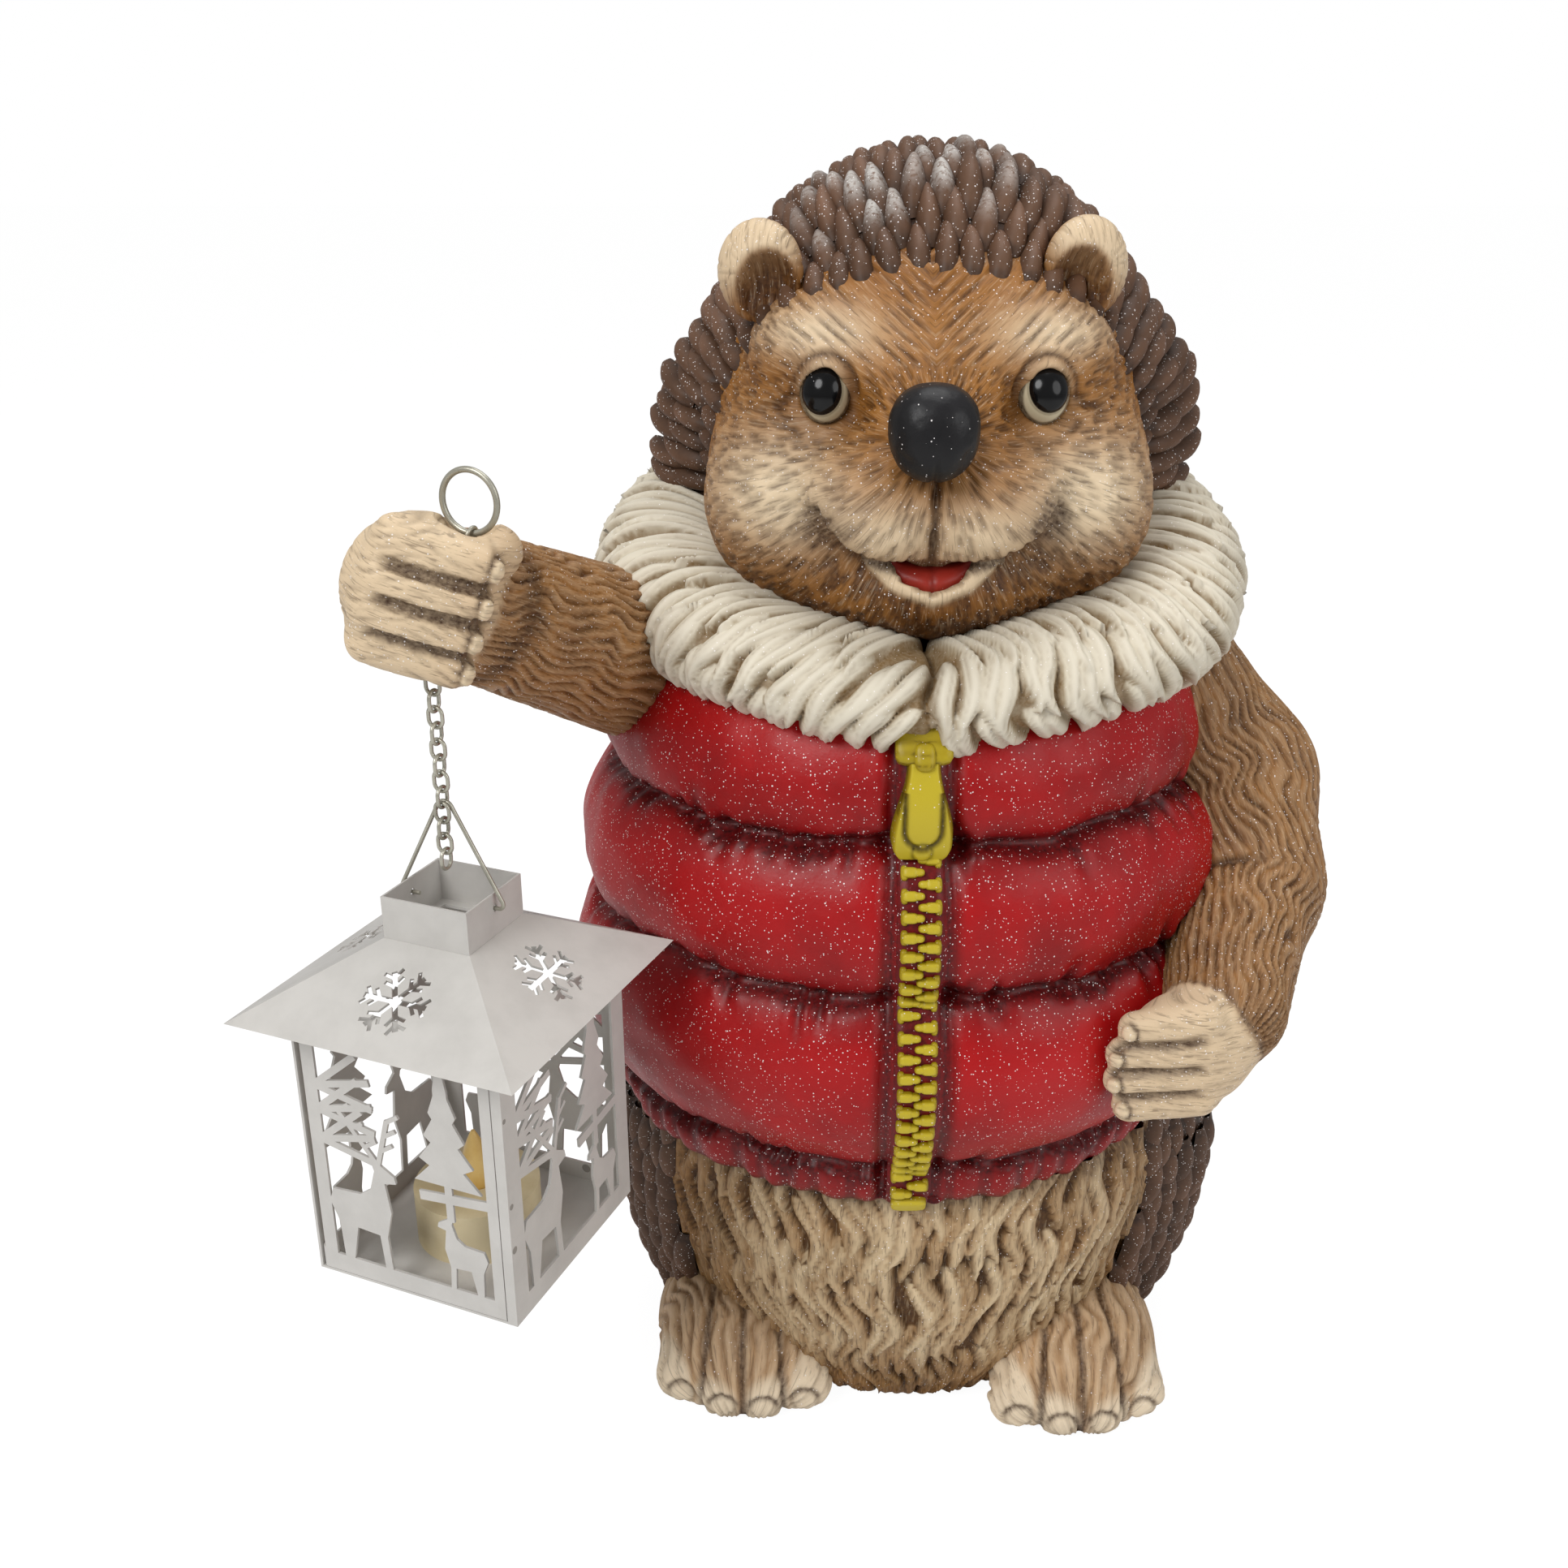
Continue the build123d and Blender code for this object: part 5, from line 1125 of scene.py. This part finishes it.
def foot(name, node_name, middle, side, seed):
    """Foot with four long toes; side is -1 where its outer edge is at the left."""
    center = np.array([middle[0], middle[1], 0.0])
    toes = []
    for index in range(4):
        out = (index - 1.5) * 14.6
        tip = center + (out, -36.0 + 0.012 * (out + side * 4) ** 2, 10.2)
        toes.append((center + (0.6 * out, -2.0, 26.0 - 0.006 * out**2), tip))

    def toe_shape(points):
        shape = np.full(len(points), 1e3)
        for root, tip in toes:
            shape = np.minimum(shape, bar(points, root, tip, 10.0, 9.4))
        return shape

    def shape(points):
        made = ellipsoid(points, center + (0, -2.0, 13.0), (32.0, 41.0, 27.0))
        for root, tip in toes:
            made = merge(made, bar(points, root, tip, 10.0, 9.4), 5.0)
        return cut_away(made, points[:, 2] - 0.3, 1.0)

    points, faces, normal = skin(shape, center - (34, 50, 0), center + (34, 44, 46), 0.8)
    x, y, z = (points - center).T
    turn = np.arctan2(x * (1 + 0.006 * (y + 34)), z + 8.0)
    lift, wash, light = fur_strokes(-y, turn, 24.0, seed)
    toe = step(0.0, -14.0, y) * step(2.5, 0.5, toe_shape(points))
    wash = 0.75 * wash * (1 - 0.5 * toe)
    light = (light + 0.2) * (1 - toe) + toe * (0.55 + 0.4 * step(-4.0, -22.0, y))
    # The gaps between the toes are darkened as wash and painted shade.
    for left, right in zip(toes, toes[1:]):
        (rx, ry, _), (tx, ty, _) = (left[0] + right[0]) / 2, (left[1] + right[1]) / 2
        gap, _ = line_reach(points[:, 0], points[:, 1], ((rx, ry), (tx, ty - 9.0)))
        line = bump(gap, 0, 1.3) * step(4.0, -4.0, y)
        lift -= 1.3 * line
        wash += 1.0 * line
    for _, tip in toes:
        raise_, dark, pale = nail(points, tip + (0.0, -7.4, -1.6), np.array([0.0, -0.95, 0.3]),
                                  np.array([0.0, 0.3, 0.95]), (4.4, 4.2))
        lift += raise_
        wash += dark
        light += pale
    # Painted shade darkens the foot toward the floor.
    wash += 0.5 * step(3.0, 0.5, z)
    lift *= step(0.2, 1.5, z)
    build(name, points + normal * lift[:, None], faces, FEET, [node_name], "fur_tan", (turn * 24.0, y),
          wash=wash, light=light)


foot("right_foot", "foot_right", (-54.0, -33.0), -1, 161)
foot("left_foot", "foot_left", (64.0, -41.0), 1, 171)


# Ears, eyes and nose


def ear(name, node_name, center, side):
    """Cupped ear, thick at its outer and upper rim and open to the head below; side is -1 at the left."""
    turn = math.radians(16 * side)
    spin = np.array([[math.cos(turn), math.sin(turn), 0], [-math.sin(turn), math.cos(turn), 0], [0, 0, 1]])

    def local(points):
        return (points - center) @ spin.T

    def cup(place):
        return ellipsoid(place, (-4.2 * side, -8.6, -5.0), (8.4, 9.4, 10.8))

    def shape(points):
        place = local(points)
        return cut_away(ellipsoid(place, (0, 0, 0), (12.6, 8.8, 14.4)), cup(place), 3.0)

    points, faces, normal = skin(shape, center - 18, center + 18, 0.6)
    place = local(points)
    inside = step(2.2, 0.0, cup(place))
    _, cut = carve(place[:, 0] + 0.5 * noise(points, 6.0, 181), place[:, 2], 2.2, 9.0, 182, 0.5, 0.2)
    _, rim_cut = carve(np.arctan2(place[:, 0], place[:, 2]) * 13.0, place[:, 1], 3.0, 12.0, 185, 0.5, 0.3)
    lift = -0.7 * cut * inside - 0.45 * rim_cut * (1 - inside)
    # The lower inside of the cup and the lower rim are darkened as painted shade; the upper inside is lightened as a
    # painted highlight, and the outer rim is pale paint.
    low = step(7.0, -9.0, place[:, 2] + 0.5 * place[:, 0] * side)
    wash = inside * (0.2 + 0.9 * low + 0.25 * cut) + 0.35 * rim_cut * (1 - inside) + 0.15 * low * (1 - inside)
    light = (1 - inside) * step(5.0, -3.0, place[:, 1]) * (0.85 - 0.8 * low) + 0.3 * inside * (1 - low)
    build(name, points + normal * lift[:, None], faces, FUR, [node_name], "fur_brown", place[:, [0, 2]].T,
          wash=wash, light=light)


ear("right_ear", "ear_right", np.array([-46.3, -35.0, 386.5]), -1)
ear("left_ear", "ear_left", np.array([46.6, -36.0, 387.5]), 1)


def ball(center, radii, rows=64, columns=96, reach=math.pi):
    """Points of a stretched ball in rows from its front pole, with the unit direction of each."""
    tilt = np.linspace(0.005, reach - 0.005, rows)[:, None]
    turn = np.linspace(0, 2 * np.pi, columns, endpoint=False)[None, :]
    way = [np.sin(tilt) * np.sin(turn), -np.cos(tilt) + 0 * turn, np.sin(tilt) * np.cos(turn)]
    way = np.stack(way, -1).reshape(-1, 3)
    return np.asarray(center) + way * np.asarray(radii), way, sheet_faces(rows, columns, True)


def eye(name, node_name, center, gaze):
    points, way, faces = ball(center, (7.3, 8.0, 8.5), 60, 80, 2.0)
    gaze = np.asarray(gaze, float) / np.linalg.norm(gaze)
    off = np.degrees(np.arccos(np.clip(way @ gaze, -1, 1)))
    pupil = step(53.0, 50.0, off)
    tilt = np.degrees(np.arccos(np.clip(-way[:, 1], -1, 1)))
    points = points + way * (0.4 * step(56.0, 38.0, off))[:, None]
    # The ball is darkened as painted shade where it runs under the lids; the thin ring round the pupil is its painted
    # outline.
    rim = step(52.0, 62.0, tilt) + 0.5 * bump(off, 55.0, 2.5)
    build(name, points, faces, EYE, [node_name], "eye_black",
          dark=pupil, wash=rim, light=0 * rim)


eye("right_eye", "eye_right", (-27.9, -56.6, 355.2), (-0.24, -0.93, 0.26))
eye("left_eye", "eye_left", (33.2, -57.4, 355.2), (0.17, -0.91, 0.36))


def nose():
    points, way, faces = ball((0.4, -85.0, 349.0), (1, 1, 1), 72, 110)
    power = np.sum(np.abs(way) ** 2.25, axis=1) ** (-1 / 2.25)
    wide = 12.2 * (1 + 0.06 * np.clip(way[:, 2], -1, 1))
    grown = way * power[:, None] * np.stack([wide, np.full(len(way), 11.8), np.full(len(way), 13.0)], -1)
    dent = np.zeros(len(way))
    for side in (-1, 1):
        place = np.array([side * 0.62, -0.62, -0.42])
        dent += bump(np.linalg.norm(way - unit(place), axis=1), 0, 0.2)
    crease = bump(way[:, 0], 0, 0.07) * step(-0.25, -0.6, way[:, 2])
    lift = -0.7 * dent - 0.6 * crease + 0.12 * noise(grown, 2.2, 191)
    points = np.array([0.4, -85.0, 349.0]) + grown + way * lift[:, None]
    # Painted shade in the nostrils and the crease below them; painted highlight on the top of the nose.
    build("nose_pad", points, faces, NOSE, ["nose"], "nose_black",
          wash=0.6 * dent + 0.7 * crease, light=0.35 * step(0.2, 0.8, way[:, 2]))


nose()


# Zip: interlocking teeth on a tape of vest red darkened as painted shade, with a stop, a slider and its pull


def zip_place(z, proud):
    """Point on the middle of the vest's front, proud of it, with the directions up and out there."""
    radius = vest_radius(np.array([z - 1.0, z, z + 1.0]))
    up = np.array([0.0, -(radius[2] - radius[0]) * DEPTH, 2.0])
    up = unit(up)
    out = np.cross(np.array([1.0, 0.0, 0.0]), up)
    return np.array([0.0, -radius[1] * DEPTH, z]) + out * proud, up, out


def pillow(center, axes, half, power=4.0, rows=14, columns=22):
    """Points and faces of a block with rounded edges."""
    _, way, faces = ball((0, 0, 0), (1, 1, 1), rows, columns)
    grown = way * (np.sum(np.abs(way) ** power, axis=1) ** (-1 / power))[:, None] * np.asarray(half)
    return center + grown @ np.asarray(axes), faces


def zip_fastener():
    across = np.array([1.0, 0.0, 0.0])
    teeth = []
    pitch = 5.6
    for index in range(23):
        z = 113.0 + index * pitch
        for side in (-1, 1):
            here = z + (0.5 * pitch if side > 0 else 0.0)
            if here > 240:
                continue
            place, up, out = zip_place(here, 1.2)
            axes = [across, -out, up]
            teeth.append(pillow(place + across * side * 3.3, axes, (2.3, 1.9, 1.55)))
            teeth.append(pillow(place + across * side * 0.9 + out * 0.3, axes, (1.9, 1.5, 1.2), 2.6))
            teeth.append(pillow(place + across * side * 4.9 - out * 0.4, axes, (1.1, 1.4, 2.3), 3.0))
    place, up, out = zip_place(108.6, 1.0)
    teeth.append(pillow(place, [across, -out, up], (5.6, 2.2, 3.0), 5.0))
    points, faces = gather(teeth)
    deep = np.hypot(points[:, 0], points[:, 1])
    level = vest_radius(np.clip(points[:, 2], 106.5, 278.5)) * DEPTH
    # Painted shade where the teeth sink toward the vest; painted highlight on their proud tops.
    wash = step(1.6, -0.4, deep - level) * 0.9
    build("zip_teeth", points, faces, ZIP, ["zip_tape"], "zip_gold",
          wash=wash, light=step(1.8, 3.2, deep - level))
    rows, columns = 160, 9
    z = np.linspace(106.4, 268.0, rows)
    sheet = np.empty((rows, columns, 3))
    for row, height in enumerate(z):
        place, _, out = zip_place(height, 0.0)
        for column, x in enumerate(np.linspace(-7.0, 7.0, columns)):
            sheet[row, column] = place + across * x + out * (0.9 - 1.6 * (abs(x) > 6.0))
    # The tape is the vest's red darkened all over as painted shade in the front crease.
    build("zip_tape_cloth", sheet.reshape(-1, 3), sheet_faces(rows, columns, False), VEST, [], "vest_red",
          wash=np.full(rows * columns, 0.85), light=np.zeros(rows * columns))


zip_fastener()


def zip_pull():
    across = np.array([1.0, 0.0, 0.0])
    rows, columns = 72, 41
    top, bottom = 259.0, 229.5
    share = np.linspace(0, 1, rows)
    half = 4.8 + 4.2 * step(0.05, 0.75, share)
    cap = np.clip((share - 0.78) / 0.22, 0, 1)
    half = half * np.sqrt(np.maximum(1 - cap**2.4, 0.0)) * np.sqrt(np.clip(share / 0.05, 0.02, 1))
    grid = np.empty((rows, columns, 3))
    wash = np.zeros((rows, columns))
    light = np.zeros((rows, columns))
    edge = np.linspace(-1, 1, columns)
    for row, part in enumerate(share):
        place, up, out = zip_place(top + (bottom - top) * part, 0.0)
        end = min(part / 0.07, (1 - part) / 0.07, 1.0)
        rim = np.minimum((1 - np.abs(edge)) * half[row] / 1.3, end)
        height = 1.5 + 3.8 * np.sqrt(np.clip(rim, 0, 1)) - 1.5 * (rim <= 0)
        reach = np.hypot(edge * half[row] / 6.2, np.maximum(part - 0.62, 0) * 30 / 6.2)
        line = bump(reach, 0.86, 0.13) * (part > 0.3)
        boss = np.hypot(edge * half[row], (part - 0.84) * 30) / 2.6
        height = height - 1.1 * line + 0.9 * step(1.0, 0.6, boss)
        # Painted shade on the pull's low rim, its engraved line and the ring round its boss; painted highlight on its
        # raised middle.
        wash[row] = 0.95 * line + 0.7 * bump(boss, 1.1, 0.2) + 0.6 * (rim < 0.3)
        light[row] = step(0.4, 1.0, rim) * (1 - line)
        grid[row] = place + across * (edge * half[row])[:, None] + out * height[:, None]
    build("zip_pull", grid.reshape(-1, 3), sheet_faces(rows, columns, False), ZIP, ["zip_slider"], "zip_gold",
          wash=wash, light=light)
    place, up, out = zip_place(262.0, 2.6)
    axes = [across, -out, up]
    plate = pillow(place, axes, (8.2, 2.8, 6.0), 6.0, 24, 32)
    loop = pillow(place - up * 4.0 + out * 2.4, axes, (3.0, 1.9, 4.2), 3.0, 20, 28)
    points, faces = gather([plate, loop])
    ridge = np.abs(np.sin((points[:, 2] - 262.0) * 1.1))
    # Painted highlight on the slider's ribs and painted shade between them.
    build("zip_slider_body", points, faces, ZIP, [], "zip_gold",
          wash=0.55 * step(0.3, 0.0, ridge), light=0.4 * ridge)


zip_pull()


# CAD pieces that stay: enamelled sheet, plated wire, wax and the tea light's parts


def coated(name, base, shade, rough, metal=0.0, grain=260.0, chips=None):
    """Even coat with faint tone changes, a fine orange-peel grain and, where given, small chips."""
    material, tree, surface, place = blank(name)
    surface.inputs["Metallic"].default_value = metal
    blotch = clouds(tree, place, 60.0, 5.0, 0.62)
    fine = clouds(tree, place, grain, 3.0, 0.5)
    shown = mix(tree, colour(base), colour(shade), ranged(tree, blotch, 0.4, 0.7))
    if chips:
        shown = mix(tree, shown, colour(chips), specks(tree, place, 95.0, 0.16, 0.2))
    shine = ranged(tree, blotch, 0.0, 1.0, rough - 0.08, rough + 0.1)
    dress(tree, surface, shown, shine, fine, 0.08, 0.0004)
    return material


ENAMEL = coated("white_enamel", "#C7C4BF", "#BCB9B4", 0.38, chips="#8E8A84")
PLATED = coated("plated_wire", "#B9B6A8", "#9D9A8C", 0.34, metal=0.55, grain=900.0)
WAX = coated("cream_wax", "#DCCDA8", "#CDBB90", 0.5)
FLAME = coated("flame", "#E4C27A", "#D3A754", 0.35)
CLEAR = coated("clear_lamp", "#D9D6C8", "#C8C4B2", 0.12)
STEEL = coated("cell_steel", "#A9ABAD", "#94979A", 0.28, metal=1.0)
BLACK = coated("black_plastic", "#1B1B1C", "#232325", 0.45)

FINISHES = {
    "lantern_": ENAMEL, "door_": ENAMEL, "chain_": PLATED, "pull_ring": PLATED, "bail": PLATED,
    "tealight_cup": WAX, "tealight_lid": WAX, "tealight_flame": FLAME, "tealight_lamp": CLEAR,
    "tealight_cell": STEEL, "tealight_switch": BLACK,
}


def finish_nodes():
    for name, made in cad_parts.items():
        for start, material in FINISHES.items():
            if name.startswith(start):
                made.data.materials.clear()
                made.data.materials.append(material)


finish_nodes()


# Camera at the photograph's viewing angle, floor and light


def camera():
    data = bpy.data.cameras.new("camera")
    data.sensor_width = 36.0
    data.lens = 36.33
    made = bpy.data.objects.new("camera", data)
    made.location = (-0.0395, -0.510, 0.420)
    made.rotation_euler = (math.radians(68), 0, 0)
    scene.collection.objects.link(made)
    scene.camera = made


camera()


def floor():
    mesh = bpy.data.meshes.new("floor")
    half = 12.0
    corners = [(-half, -half, 0), (half, -half, 0), (half, half, 0), (-half, half, 0)]
    mesh.from_pydata(corners, [], [(0, 1, 2, 3)])
    made = bpy.data.objects.new("floor", mesh)
    scene.collection.objects.link(made)
    material = bpy.data.materials.new("floor")
    material.use_nodes = True
    tree = material.node_tree
    surface = tree.nodes["Principled BSDF"]
    surface.inputs["Base Color"].default_value = (0.8, 0.8, 0.8, 1)
    surface.inputs["Roughness"].default_value = 0.8
    white = node(tree, "ShaderNodeEmission", Color=(1, 1, 1, 1), Strength=1.12)
    path = node(tree, "ShaderNodeLightPath")
    share = sums(tree, "MULTIPLY", path.outputs["Is Camera Ray"], 0.85)
    both = node(tree, "ShaderNodeMixShader")
    tree.links.new(share, both.inputs[0])
    tree.links.new(surface.outputs[0], both.inputs[1])
    tree.links.new(white.outputs[0], both.inputs[2])
    tree.links.new(both.outputs[0], tree.nodes["Material Output"].inputs["Surface"])
    mesh.materials.append(material)


floor()


def light(name, place, aim, size, power):
    data = bpy.data.lights.new(name, "AREA")
    data.shape = "DISK"
    data.size = size
    data.energy = power
    made = bpy.data.objects.new(name, data)
    made.location = place
    away = np.asarray(place) - np.asarray(aim)
    flat = math.hypot(away[0], away[1])
    made.rotation_euler = (math.atan2(flat, away[2]), 0, math.atan2(away[1], away[0]) + math.pi / 2)
    scene.collection.objects.link(made)


light("key", (-0.9, -1.1, 1.35), (0, -0.05, 0.2), 0.9, 18.0)
light("fill", (1.2, -0.9, 0.9), (0, 0, 0.2), 1.1, 7.5)
light("top", (0.1, 0.2, 1.6), (0, 0, 0.25), 1.0, 8.0)


def backdrop():
    """White for the camera, softer for the light that reaches the object."""
    world = bpy.data.worlds.new("backdrop")
    scene.world = world
    world.use_nodes = True
    tree = world.node_tree
    out = tree.nodes["World Output"]
    soft = tree.nodes["Background"]
    soft.inputs["Color"].default_value = (1, 1, 1, 1)
    soft.inputs["Strength"].default_value = 0.36
    white = node(tree, "ShaderNodeBackground", Color=(1, 1, 1, 1), Strength=1.0)
    path = node(tree, "ShaderNodeLightPath")
    both = node(tree, "ShaderNodeMixShader")
    tree.links.new(path.outputs["Is Camera Ray"], both.inputs[0])
    tree.links.new(soft.outputs[0], both.inputs[1])
    tree.links.new(white.outputs[0], both.inputs[2])
    tree.links.new(both.outputs[0], out.inputs["Surface"])


backdrop()
scene.view_settings.view_transform = "Standard"
